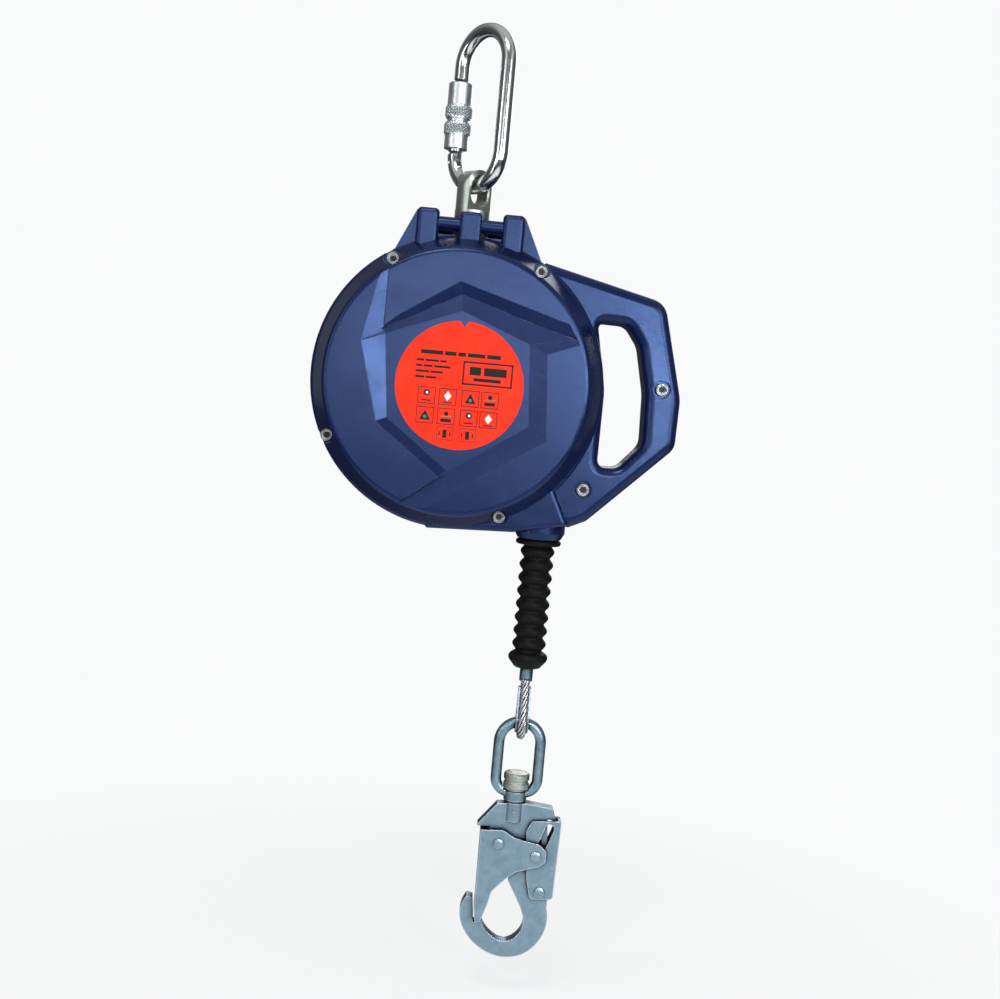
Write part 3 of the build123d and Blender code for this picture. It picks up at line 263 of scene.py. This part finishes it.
def printed_vinyl(name):
    """The satin red-orange label with a faint print grain and handling marks."""
    s = Shader(name, IOR=1.4, Specular_IOR_Level=0.2)
    patch = s.span(s.noise(70, 4), 0.35, 0.65)
    s.put("Base Color", s.mix(patch, (0.80, 0.020, 0.004), (0.86, 0.030, 0.006)))
    s.put("Roughness", s.span(s.noise(240, 4), 0.3, 0.7, 0.46, 0.58))
    s.relief(s.noise(1500, 2), 0.01 * MM, 0.4)
    return s.material


def print_ink(name, colour):
    """Screen ink with slightly uneven cover."""
    s = Shader(name, Specular_IOR_Level=0.12)
    s.put("Base Color", s.mix(s.span(s.noise(900, 3), 0.5, 0.8, 0.0, 0.2), colour,
                              tuple(0.8 * c + 0.05 for c in colour)))
    s.put("Roughness", s.span(s.noise(500, 2), 0.3, 0.7, 0.45, 0.6))
    return s.material


def lining_felt(name):
    """Bonded friction lining with brass and fibre flecks."""
    s = Shader(name)
    s.put("Base Color", s.mix(s.span(s.noise(800, 4), 0.45, 0.7), (0.06, 0.045, 0.035), (0.22, 0.17, 0.10)))
    s.put("Roughness", s.span(s.noise(500, 3), 0.3, 0.7, 0.6, 0.85))
    s.relief(s.noise(1100, 4), 0.06 * MM, 0.8)
    return s.material


MATERIALS = {
    "navy_nylon": moulded_nylon("navy_nylon", (0.0030, 0.0065, 0.036), (0.0048, 0.0098, 0.046), rough=0.26),
    "guide_nylon": moulded_nylon("guide_nylon", (0.012, 0.012, 0.013), (0.02, 0.02, 0.021), rough=0.45),
    "black_rubber": black_rubber("black_rubber"),
    "polished_steel": bright_metal("polished_steel", (0.82, 0.85, 0.85), (0.74, 0.77, 0.78), rough=0.15,
                                   streak=(1, 1, 0.15), scale=500, bump=0.003),
    "zinc_plate": zinc_plate("zinc_plate"),
    "turned_steel": bright_metal("turned_steel", (0.50, 0.54, 0.50), (0.42, 0.45, 0.41), rough=0.36,
                                 streak=(1, 1, 6), scale=300, bump=0.0008, tint=(0.44, 0.40, 0.31)),
    "screw_steel": blacked_screw("screw_steel"),
    "plated_sheet": bright_metal("plated_sheet", (0.62, 0.63, 0.60), (0.50, 0.50, 0.46), rough=0.32,
                                 streak=(1, 1, 6), scale=260),
    "hard_steel": bright_metal("hard_steel", (0.34, 0.35, 0.37), (0.22, 0.22, 0.24), rough=0.34, scale=500),
    "brass": bright_metal("brass", (0.80, 0.60, 0.26), (0.62, 0.44, 0.18), rough=0.25,
                          streak=(1, 9, 1), scale=180),
    "cast_drum": bright_metal("cast_drum", (0.66, 0.67, 0.68), (0.52, 0.53, 0.54), rough=0.42,
                              scale=900, bump=0.05),
    "friction_lining": lining_felt("friction_lining"),
    "wire_rope": galvanised_wire("wire_rope"),
    "label_print": printed_vinyl("label_print"),
}
SLEEVE = satin_sleeve("sleeve_satin")
INK = print_ink("label_ink", (0.012, 0.011, 0.012))
PALE_INK = print_ink("label_pale_ink", (0.75, 0.74, 0.70))
GREEN_INK = print_ink("label_green_ink", (0.03, 0.22, 0.12))


def dress_cad_nodes():
    """Gives every CAD node the material of its slot in the record."""
    for row in frame["record"]["subparts"]:
        node = NODES[row["node"]]
        node.data.materials.clear()
        node.data.materials.append(MATERIALS[row["material_slot"]])
    NODES["lock_sleeve"].data.materials[0] = SLEEVE


# ---- mesh helpers ----------------------------------------------------------------------------------------
def add_mesh(name, verts, faces, material, smooth=True):
    """A mesh object from vertices and faces."""
    mesh = bpy.data.meshes.new(name)
    mesh.from_pydata([tuple(v) for v in verts], [], faces)
    mesh.update()
    piece = bpy.data.objects.new(name, mesh)
    bpy.context.scene.collection.objects.link(piece)
    mesh.materials.append(material)
    if smooth:
        mesh.polygons.foreach_set("use_smooth", [True] * len(mesh.polygons))
    return piece


def ring_faces(rows, count):
    """Quads between successive closed rings of count vertices each."""
    faces = []
    for r in range(rows - 1):
        for i in range(count):
            a = r * count + i
            b = r * count + (i + 1) % count
            faces.append((a, b, b + count, a + count))
    return faces


def tube(centres, frames, radius, sides):
    """Vertices and faces of a capped tube through centres; frames gives two cross directions at each."""
    verts = []
    for centre, (u, v) in zip(centres, frames):
        for k in range(sides):
            a = 2 * math.pi * k / sides
            verts.append(centre + radius * (math.cos(a) * u + math.sin(a) * v))
    faces = ring_faces(len(centres), sides)
    last = (len(centres) - 1) * sides
    faces.append(tuple(reversed(range(sides))))
    faces.append(tuple(range(last, last + sides)))
    return verts, faces


STRANDS = 6
STRAND_SIDES = 10
ROPE_LAY = 38 * MM         # length of one full turn of the strands
EYE_LAY = 30 * MM


def stranded(path, cross, rope_radius, lay):
    """Six strands round a core along a path of points; cross gives two directions across it at each."""
    strand_r = rope_radius / 3.0
    spacing = 2 * strand_r * 0.985
    lengths = [0.0]
    for a, b in zip(path, path[1:]):
        lengths.append(lengths[-1] + (b - a).length)
    verts, faces = [], []
    for strand in range(STRANDS + 1):
        centres, frames = [], []
        for point, (u, v), length in zip(path, cross, lengths):
            turn = 2 * math.pi * (length / lay + strand / STRANDS)
            out = math.cos(turn) * u + math.sin(turn) * v
            along = u.cross(v)
            offset = 0.0 if strand == STRANDS else spacing
            centres.append(point + offset * out)
            frames.append((out, along.cross(out)))
        strand_verts, strand_faces = tube(centres, frames, strand_r, STRAND_SIDES)
        start = len(verts)
        verts += strand_verts
        faces += [tuple(start + i for i in face) for face in strand_faces]
    return verts, faces


def lathe(profile, centre_x, sides, shape):
    """A ring turned about a vertical axis from a closed loop of (radius, z); shape adjusts each radius."""
    verts = []
    for r, z in profile:
        for k in range(sides):
            a = 2 * math.pi * k / sides
            wide = shape(r, a)
            verts.append(Vector((centre_x + wide * math.cos(a), wide * math.sin(a), z)))
    faces = ring_faces(len(profile), sides)
    last = (len(profile) - 1) * sides
    for i in range(sides):
        j = (i + 1) % sides
        faces.append((last + i, last + j, j, i))
    return verts, faces


# ---- rope ------------------------------------------------------------------------------------------------
def rope_axis():
    """The x of the rope's axis and the rope's radius."""
    low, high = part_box("lifeline_rope")
    return (low.x + high.x) / 2, (high.x - low.x) / 2


def make_lifeline_rope():
    """The straight run from the drum to the ferrule, between the casing and the hook end."""
    low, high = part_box("lifeline_rope")
    x, radius = rope_axis()
    steps = 240
    path = [Vector((x, 0, high.z + (low.z - high.z) * i / steps)) for i in range(steps + 1)]
    cross = [(Vector((1, 0, 0)), Vector((0, 1, 0)))] * len(path)
    strands = stranded(path, cross, radius, ROPE_LAY)
    piece = add_mesh("lifeline_rope_strands", *strands, MATERIALS["wire_rope"])
    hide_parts("lifeline_rope")
    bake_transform(piece)


def make_rope_eye():
    """The eye of stranded rope: down one straight leg, round the thimble, and up the other leg."""
    leg_steps, bend_steps = 30, 60
    low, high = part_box("rope_loop")
    x, radius = (low.x + high.x) / 2, (high.x - low.x) / 2
    bend = (high.y - low.y) / 2 - radius
    centre = low.z + radius + bend
    start = Vector((x, radius + 0.15 * MM, high.z + 1.5 * MM))
    drop = start.z - centre
    spread = math.acos(bend / math.hypot(drop, start.y)) - math.atan2(start.y, drop)
    touch = Vector((x, bend * math.sin(spread), centre + bend * math.cos(spread)))
    points = [start.lerp(touch, i / leg_steps) for i in range(leg_steps)]
    sweep = 2 * (math.pi - spread)
    for i in range(bend_steps + 1):
        a = spread + sweep * i / bend_steps
        points.append(Vector((x, bend * math.sin(a), centre + bend * math.cos(a))))
    far = Vector((x, -touch.y, touch.z))
    end = Vector((x, -start.y, start.z))
    points += [far.lerp(end, i / leg_steps) for i in range(1, leg_steps + 1)]
    cross = []
    for i in range(len(points)):
        ahead = points[min(i + 1, len(points) - 1)] - points[max(i - 1, 0)]
        side = Vector((1, 0, 0))
        cross.append((side, ahead.normalized().cross(side)))
    piece = add_mesh("rope_eye_strands", *stranded(points, cross, radius, EYE_LAY), MATERIALS["wire_rope"])
    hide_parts("rope_loop")
    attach(piece, "lifeline")


# ---- rubber bumper ---------------------------------------------------------------------------------------
RIBS = 8
RIB_PITCH = 9.23 * MM
RIB_R, VALLEY_R = 11.6 * MM, 8.8 * MM
FIRST_RIB = 8.4 * MM       # first rib's middle below the top of the bumper
FLANGE_ROUND = 1.5 * MM
# The mushroom foot as (share of its height from the top, radius in mm), out to the bulge and in again.
FOOT_OUTLINE = ((0.04, 9.6), (0.10, 11.0), (0.18, 12.3), (0.28, 13.2), (0.38, 13.5), (0.48, 13.4),
                (0.58, 12.9), (0.68, 12.0), (0.78, 10.9), (0.88, 9.9), (0.96, 9.1), (1.0, 8.2))
MOULD_LINE = 0.18 * MM
BUMPER_SIDES = 96


def top_flange(outer, top):
    """Flat top and rounded rim of the flange, from the bore outwards and down."""
    rim_r = outer - 1.6 * MM
    rim = [(rim_r, top)]
    for i in range(9):
        a = math.pi / 2 - math.pi * i / 8
        rim.append((rim_r + FLANGE_ROUND * math.cos(a), top - 1.9 * MM + 1.8 * MM * math.sin(a)))
    return rim


def ribs(first):
    """Rounded ribs with tighter valleys between them."""
    steps = 14
    points = [(VALLEY_R + 0.6 * MM, first + RIB_PITCH / 2 - 0.4 * MM)]
    for n in range(RIBS):
        for i in range(steps):
            t = (i + 0.5) / steps
            swell = (0.5 - 0.5 * math.cos(2 * math.pi * t)) ** 0.62
            z = first + RIB_PITCH / 2 - RIB_PITCH * (n + t)
            points.append((VALLEY_R + (RIB_R - VALLEY_R) * swell, z))
    return points


def mushroom_foot(top, bottom):
    """The foot's outline, from the last rib's lower side down to the tip."""
    return [(r * MM, top - (top - bottom) * share) for share, r in FOOT_OUTLINE]


def mould_line(r, a):
    """Adds a thin raised line along the mould's parting plane, except inside the bore."""
    ridge = math.exp(-(math.sin(a) / 0.03) ** 2) if r > VALLEY_R * 0.9 else 0.0
    return r + MOULD_LINE * ridge


def make_bumper():
    """The ribbed bumper as one lathe-turned skin with rounded ribs and a faint mould line."""
    low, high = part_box("cable_bumper")
    ferrule_low, ferrule_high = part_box("ferrule")
    bore = rope_axis()[1] + 0.5 * MM
    ferrule_bore = (ferrule_high.x - ferrule_low.x) / 2 + 0.25 * MM
    first = high.z - FIRST_RIB
    profile = [(bore, high.z)]
    profile += top_flange((high.x - low.x) / 2, high.z)
    profile += ribs(first)
    profile += mushroom_foot(first - RIB_PITCH * (RIBS - 0.5), low.z)
    profile += [(ferrule_bore, low.z), (ferrule_bore, low.z + 24 * MM), (bore, low.z + 25 * MM)]
    piece = add_mesh("cable_bumper_skin", *lathe(profile, (low.x + high.x) / 2, BUMPER_SIDES, mould_line),
                     MATERIALS["black_rubber"])
    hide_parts("cable_bumper")
    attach(piece, "lifeline")


# ---- lock sleeve -----------------------------------------------------------------------------------------
KNURL_TEETH = 24
KNURL_STEEPNESS = 1.15     # rise of the tooth lines against the distance round the sleeve
KNURL_HEIGHT = 0.95 * MM
KNURL_SINK = 0.12 * MM     # valleys lie this far under the sleeve's surface
KNURL_SEAT = 1.2 * MM      # inner wall of the band, inside the sleeve


def make_knurl(name, low_z, high_z):
    """One diamond-knurled grip band round the lock sleeve, between two heights."""
    low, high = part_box("lock_sleeve")
    cx, cy = (low.x + high.x) / 2, (low.y + high.y) / 2
    radius = (high.x - low.x) / 2
    rows, sides = 48, 288
    lead = KNURL_STEEPNESS / radius
    verts = []
    for j in range(rows + 1):
        z = low_z + (high_z - low_z) * j / rows
        fade = min(1.0, 6.0 * min(j, rows - j) / rows)
        for k in range(sides):
            a = 2 * math.pi * k / sides
            left = abs(math.sin(KNURL_TEETH / 2 * (a + lead * (z - low_z))))
            right = abs(math.sin(KNURL_TEETH / 2 * (a - lead * (z - low_z))))
            r = radius - KNURL_SINK + fade * KNURL_HEIGHT * min(left, right)
            verts.append(Vector((cx + r * math.cos(a), cy + r * math.sin(a), z)))
    seat = radius - KNURL_SEAT
    for z in (high_z, low_z):
        for k in range(sides):
            a = 2 * math.pi * k / sides
            verts.append(Vector((cx + seat * math.cos(a), cy + seat * math.sin(a), z)))
    faces = ring_faces(rows + 3, sides)
    last = (rows + 2) * sides
    faces += [(last + i, last + (i + 1) % sides, (i + 1) % sides, i) for i in range(sides)]
    piece = add_mesh(name, verts, faces, SLEEVE)
    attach(piece, "carabiner_sleeve")


def make_sleeve_grip():
    """The two knurled bands of the lock sleeve, on either side of its groove."""
    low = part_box("lock_sleeve")[0].z
    make_knurl("sleeve_knurl_low", low + 9.6 * MM, low + 17.9 * MM)
    make_knurl("sleeve_knurl_high", low + 21.1 * MM, low + 29.4 * MM)


# ---- label -----------------------------------------------------------------------------------------------
def flat_marks(name, shapes, depth, material):
    """Thin raised marks on the label; shapes are closed (x, z) outlines in mm from the label's centre."""
    low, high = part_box("front_label")
    cx, cz = (low.x + high.x) / 2, (low.z + (high.x - low.x) / 2)
    mesh = bmesh.new()
    for outline in shapes:
        ring = [mesh.verts.new((cx + px * MM, low.y - depth, cz + pz * MM)) for px, pz in outline]
        back = [mesh.verts.new((cx + px * MM, low.y + 0.02 * MM, cz + pz * MM)) for px, pz in outline]
        mesh.faces.new(ring)
        mesh.faces.new(list(reversed(back)))
        for i in range(len(ring)):
            j = (i + 1) % len(ring)
            mesh.faces.new((ring[j], ring[i], back[i], back[j]))
    bmesh.ops.recalc_face_normals(mesh, faces=mesh.faces)
    data = bpy.data.meshes.new(name)
    mesh.to_mesh(data)
    mesh.free()
    piece = bpy.data.objects.new(name, data)
    bpy.context.scene.collection.objects.link(piece)
    data.materials.append(material)
    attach(piece, "housing")


def bar(x, z, width, height):
    """A rectangle by its left edge, middle height, width and height."""
    low, high = z - height / 2, z + height / 2
    return [(x, low), (x + width, low), (x + width, high), (x, high)]


def frame_bars(x0, z0, x1, z1, line):
    """Four bars that draw an empty rectangle."""
    return [bar(x0, z0, x1 - x0, line), bar(x0, z1, x1 - x0, line),
            bar(x0 - line / 2, (z0 + z1) / 2, line, z1 - z0 + line),
            bar(x1 - line / 2, (z0 + z1) / 2, line, z1 - z0 + line)]


def disc(x, z, radius, sides=20):
    """A round dot."""
    return [(x + radius * math.cos(2 * math.pi * k / sides), z + radius * math.sin(2 * math.pi * k / sides))
            for k in range(sides)]


def bar_rows(left, z, widths, height, gap):
    """One line of bars that stands in for a line of text."""
    row = []
    for width in widths:
        row.append(bar(left, z, width, height))
        left += width + gap
    return row


def sign(kind, cx, cz):
    """The dark, pale and green outlines of one of four simple signs."""
    if kind == 0:
        ring = [disc(cx, cz + 1.8, 2.1), bar(cx - 3.2, cz - 3.3, 6.4, 0.8)]
        return ring, [disc(cx + 0.2, cz + 1.8, 0.9)], []
    if kind == 1:
        diamond = [(cx - 2.4, cz + 0.6), (cx, cz - 2.6), (cx + 2.4, cz + 0.6), (cx, cz + 3.8)]
        return [bar(cx - 3.2, cz - 3.8, 6.4, 0.8)], [diamond], []
    if kind == 2:
        triangle = [(cx - 3.6, cz - 3.2), (cx + 3.6, cz - 3.2), (cx, cz + 3.4)]
        return [triangle], [], [disc(cx, cz - 1.1, 1.1)]
    block = [bar(cx - 3.5, cz - 2.6, 7.0, 2.2), disc(cx, cz + 1.9, 1.5)]
    return block, [], [bar(cx - 3.5, cz + 0.2, 7.0, 0.5)]


SIGN_COLUMNS = (-21, -7, 8, 21)
SIGN_ROWS = (-8, -21)
SIGN_HALF_WIDTH, SIGN_HALF_HEIGHT = 5.6, 5.2


def make_label_marks():
    """A generic printed layout: bars for lines of text, a framed box, and a grid of simple signs."""
    dark, pale, green = [], [], []
    dark += bar_rows(-27.0, 20.5, (14.5, 7.5, 5.0, 11.5, 9.0), 2.6, 1.3)
    for row, widths in enumerate([(5, 9, 4), (4, 6, 11), (9, 8), (6, 7)]):
        dark += bar_rows(-29.5, 15.0 - 3.7 * row, widths, 1.4, 0.9)
    dark += frame_bars(2.0, 1.5, 34.0, 16.0, 1.1)
    dark += [bar(6.0, 10.4, 7.5, 5.4), bar(15.5, 10.4, 15.0, 5.4), bar(9.0, 4.8, 18.0, 2.2)]
    for i, cx in enumerate(SIGN_COLUMNS):
        for j, cz in enumerate(SIGN_ROWS):
            dark += frame_bars(cx - SIGN_HALF_WIDTH, cz - SIGN_HALF_HEIGHT,
                               cx + SIGN_HALF_WIDTH, cz + SIGN_HALF_HEIGHT, 0.5)
            for pile, outlines in zip((dark, pale, green), sign((i + 2 * j) % 4, cx, cz)):
                pile += outlines
    for cx in SIGN_COLUMNS[1:3]:
        dark += frame_bars(cx - 5.2, -36.4, cx + 5.2, -28.0, 0.3)
        for left, width, height in ((-1.3, 2.6, 5.4), (-4.0, 0.9, 2.6), (3.1, 0.9, 2.6)):
            dark.append(bar(cx + left, -32.4, width, height))
    flat_marks("label_dark_print", dark, 0.05 * MM, INK)
    flat_marks("label_pale_print", pale, 0.08 * MM, PALE_INK)
    flat_marks("label_green_print", green, 0.08 * MM, GREEN_INK)


# ---- stage -----------------------------------------------------------------------------------------------
BACKDROP = (0.95, 0.955, 0.96)
CAMERA_PLACE = (0.015, -1.0, -0.010)
CAMERA_PITCH, CAMERA_YAW, CAMERA_ROLL = 3.843, 1.224, -5.179
FOCAL_SHARE = 1.4514       # focal length over the width of the picture
SENSOR = 36.0


def make_camera():
    """A camera level with the drum, tipped down a little and rolled so that the object leans."""
    data = bpy.data.cameras.new("camera")
    data.sensor_width = SENSOR
    data.lens = FOCAL_SHARE * SENSOR
    data.clip_start = 0.01
    camera = bpy.data.objects.new("camera", data)
    bpy.context.scene.collection.objects.link(camera)
    facing = Matrix(((1, 0, 0), (0, 0, 1), (0, -1, 0)))
    roll = Matrix.Rotation(math.radians(CAMERA_ROLL), 3, "Z")
    pitch = Matrix.Rotation(math.radians(CAMERA_PITCH), 3, "X")
    yaw = Matrix.Rotation(math.radians(CAMERA_YAW), 3, "Y")
    turn = roll @ pitch @ yaw
    camera.matrix_world = Matrix.Translation(CAMERA_PLACE) @ (turn @ facing).transposed().to_4x4()
    bpy.context.scene.camera = camera


def softbox(name, place, aim, width, height, power, colour=(1, 1, 1)):
    """A rectangular area light pointed at a spot, lighting the object but never seen by the camera."""
    data = bpy.data.lights.new(name, "AREA")
    data.shape = "RECTANGLE"
    data.size, data.size_y = width, height
    data.energy = power
    data.color = colour
    light = bpy.data.objects.new(name, data)
    bpy.context.scene.collection.objects.link(light)
    light.location = place
    light.rotation_mode = "QUATERNION"
    light.rotation_quaternion = (Vector(aim) - Vector(place)).to_track_quat("-Z", "Y")
    light.visible_camera = False


def make_lights():
    """Soft studio light: a box over the lens, a high key, side strips, facet glints, one behind."""
    middle = (0.03, 0, -0.03)
    softbox("front", (-0.02, -1.35, 0.16), middle, 0.50, 0.42, 3.1, (1.0, 0.99, 0.97))
    softbox("key", (-0.25, -0.95, 1.15), middle, 0.5, 0.4, 8.0, (1.0, 0.99, 0.97))
    softbox("window", (0.72, -0.95, 0.16), middle, 0.16, 0.55, 4.5, (0.92, 0.97, 1.0))
    softbox("left_strip", (-0.92, -0.72, 0.10), middle, 0.10, 0.7, 1.6, (0.92, 0.97, 1.0))
    softbox("left_facet_glint", (0.375, -1.26, 0.07), middle, 0.10, 0.24, 4.2, (0.80, 0.93, 1.0))
    softbox("right_facet_glint", (-0.55, -1.20, 0.03), middle, 0.07, 0.34, 0.8, (0.94, 0.98, 1.0))
    softbox("back", (0.3, 1.2, 0.6), middle, 0.9, 0.9, 6.0)


def make_world():
    """Pale surroundings for the camera; in reflections, a dim room with a tall pale panel on each side."""
    world = bpy.data.worlds.new("studio")
    bpy.context.scene.world = world
    world.use_nodes = True
    tree = world.node_tree
    tree.nodes.clear()
    link = tree.links.new

    def node(kind, **settings):
        """Adds a node to the world's tree with the given settings."""
        made = tree.nodes.new("ShaderNode" + kind)
        for key, value in settings.items():
            setattr(made, key, value)
        return made

    def ramp(value, *stops):
        """A grey level read off (position, level) stops."""
        made = node("ValToRGB")
        elements = made.color_ramp.elements
        while len(elements) < len(stops):
            elements.new(0.5)
        for element, (place, level) in zip(elements, stops):
            element.position = place
            element.color = (level, level, level, 1)
        link(value, made.inputs[0])
        return made.outputs[0]

    def combine(operation, first, second):
        """Adds or multiplies two levels."""
        made = node("Math", operation=operation)
        for slot, value in enumerate((first, second)):
            if isinstance(value, float):
                made.inputs[slot].default_value = value
            else:
                link(value, made.inputs[slot])
        return made.outputs[0]

    split = node("SeparateXYZ")
    link(node("TexCoord").outputs["Generated"], split.inputs[0])
    side = node("Math", operation="ABSOLUTE")
    link(split.outputs[0], side.inputs[0])
    panels = ramp(side.outputs[0], (0.0, 0.08), (0.44, 0.09), (0.56, 0.75), (0.78, 0.75), (0.90, 0.06))
    depth = combine("ADD", combine("MULTIPLY", split.outputs[1], 0.5), 0.5)
    in_front = ramp(depth, (0.35, 1.0), (0.55, 0.25))
    height = combine("ADD", combine("MULTIPLY", split.outputs[2], 0.5), 0.5)
    rise = ramp(height, (0.0, 0.10), (0.30, 0.55), (0.5, 0.85), (0.72, 0.75), (0.85, 0.2), (1.0, 0.4))
    level = combine("MULTIPLY", combine("MULTIPLY", panels, in_front), rise)
    room = combine("ADD", level, ramp(height, (0.0, 0.10), (0.5, 0.035), (0.8, 0.12), (1.0, 0.5)))
    seen, bounced, chosen = node("Background"), node("Background"), node("MixShader")
    seen.inputs[0].default_value = (*BACKDROP, 1)
    link(room, bounced.inputs[0])
    link(node("LightPath").outputs["Is Camera Ray"], chosen.inputs[0])
    link(bounced.outputs[0], chosen.inputs[1])
    link(seen.outputs[0], chosen.inputs[2])
    link(chosen.outputs[0], node("OutputWorld").inputs[0])


FLOOR_GAP = 0.03           # the hook hangs this far above the floor
FLOOR_RADIUS = 3.0
IS_GLOSSY = 3              # the light path output that is 1 for reflected rays


def make_floor():
    """A pale round floor under the hook that fades into the surroundings."""
    low, high = cad_bounds
    sides = 64
    z = low.z - FLOOR_GAP
    cx = (low.x + high.x) / 2
    rings = (0.0001, 0.3, 0.8, FLOOR_RADIUS)
    verts = [Vector((cx + r * math.cos(2 * math.pi * k / sides), r * math.sin(2 * math.pi * k / sides), z))
             for r in rings for k in range(sides)]
    floor = add_mesh("floor", verts, ring_faces(len(rings), sides), pale_floor(cx, z), smooth=False)


def blend_surfaces(s, share, first, second):
    """Blends two whole surfaces in the shader s."""
    mixer = s.tree.nodes.new("ShaderNodeMixShader")
    for slot, value in enumerate((share, first, second)):
        s.tree.links.new(value, mixer.inputs[slot])
    return mixer.outputs[0]


def pale_floor(cx, height):
    """Matt pale floor that fades into the backdrop; reflections show only the patch near the hook."""
    s = Shader("pale_floor", Roughness=0.85, Specular_IOR_Level=0.2)
    s.put("Base Color", s.mix(s.span(s.noise(6, 3), 0.3, 0.7), (0.90, 0.90, 0.90), (0.92, 0.92, 0.92)))
    here = s.node("NewGeometry", 0)
    away = s.node("VectorMath", 1, settings={"operation": "DISTANCE"}, i0=here, i1=(cx, 0.0, 0.0))
    glow = s.node("Emission", Color=BACKDROP)
    fading = blend_surfaces(s, s.span(away, 0.05, 0.7, 0.35, 1.0), s.bsdf.outputs[0], glow)
    hook_low, hook_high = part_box("hook_body")
    patch = ((hook_low.x + hook_high.x) / 2 + 0.08, -0.34, height)
    gone = s.node("VectorMath", 1, settings={"operation": "DISTANCE"}, i0=here, i1=patch)
    dim = s.math("MULTIPLY", s.node("LightPath", IS_GLOSSY), s.span(gone, 0.42, 0.74))
    unlit = s.node("Emission", Color=(0.02, 0.02, 0.022))
    s.tree.links.new(blend_surfaces(s, dim, fading, unlit), s.tree.nodes["Material Output"].inputs[0])
    return s.material


dress_cad_nodes()
make_lifeline_rope()
make_rope_eye()
make_bumper()
make_sleeve_grip()
make_label_marks()
make_camera()
make_lights()
make_world()
make_floor()
bpy.context.scene.view_settings.view_transform = "Standard"
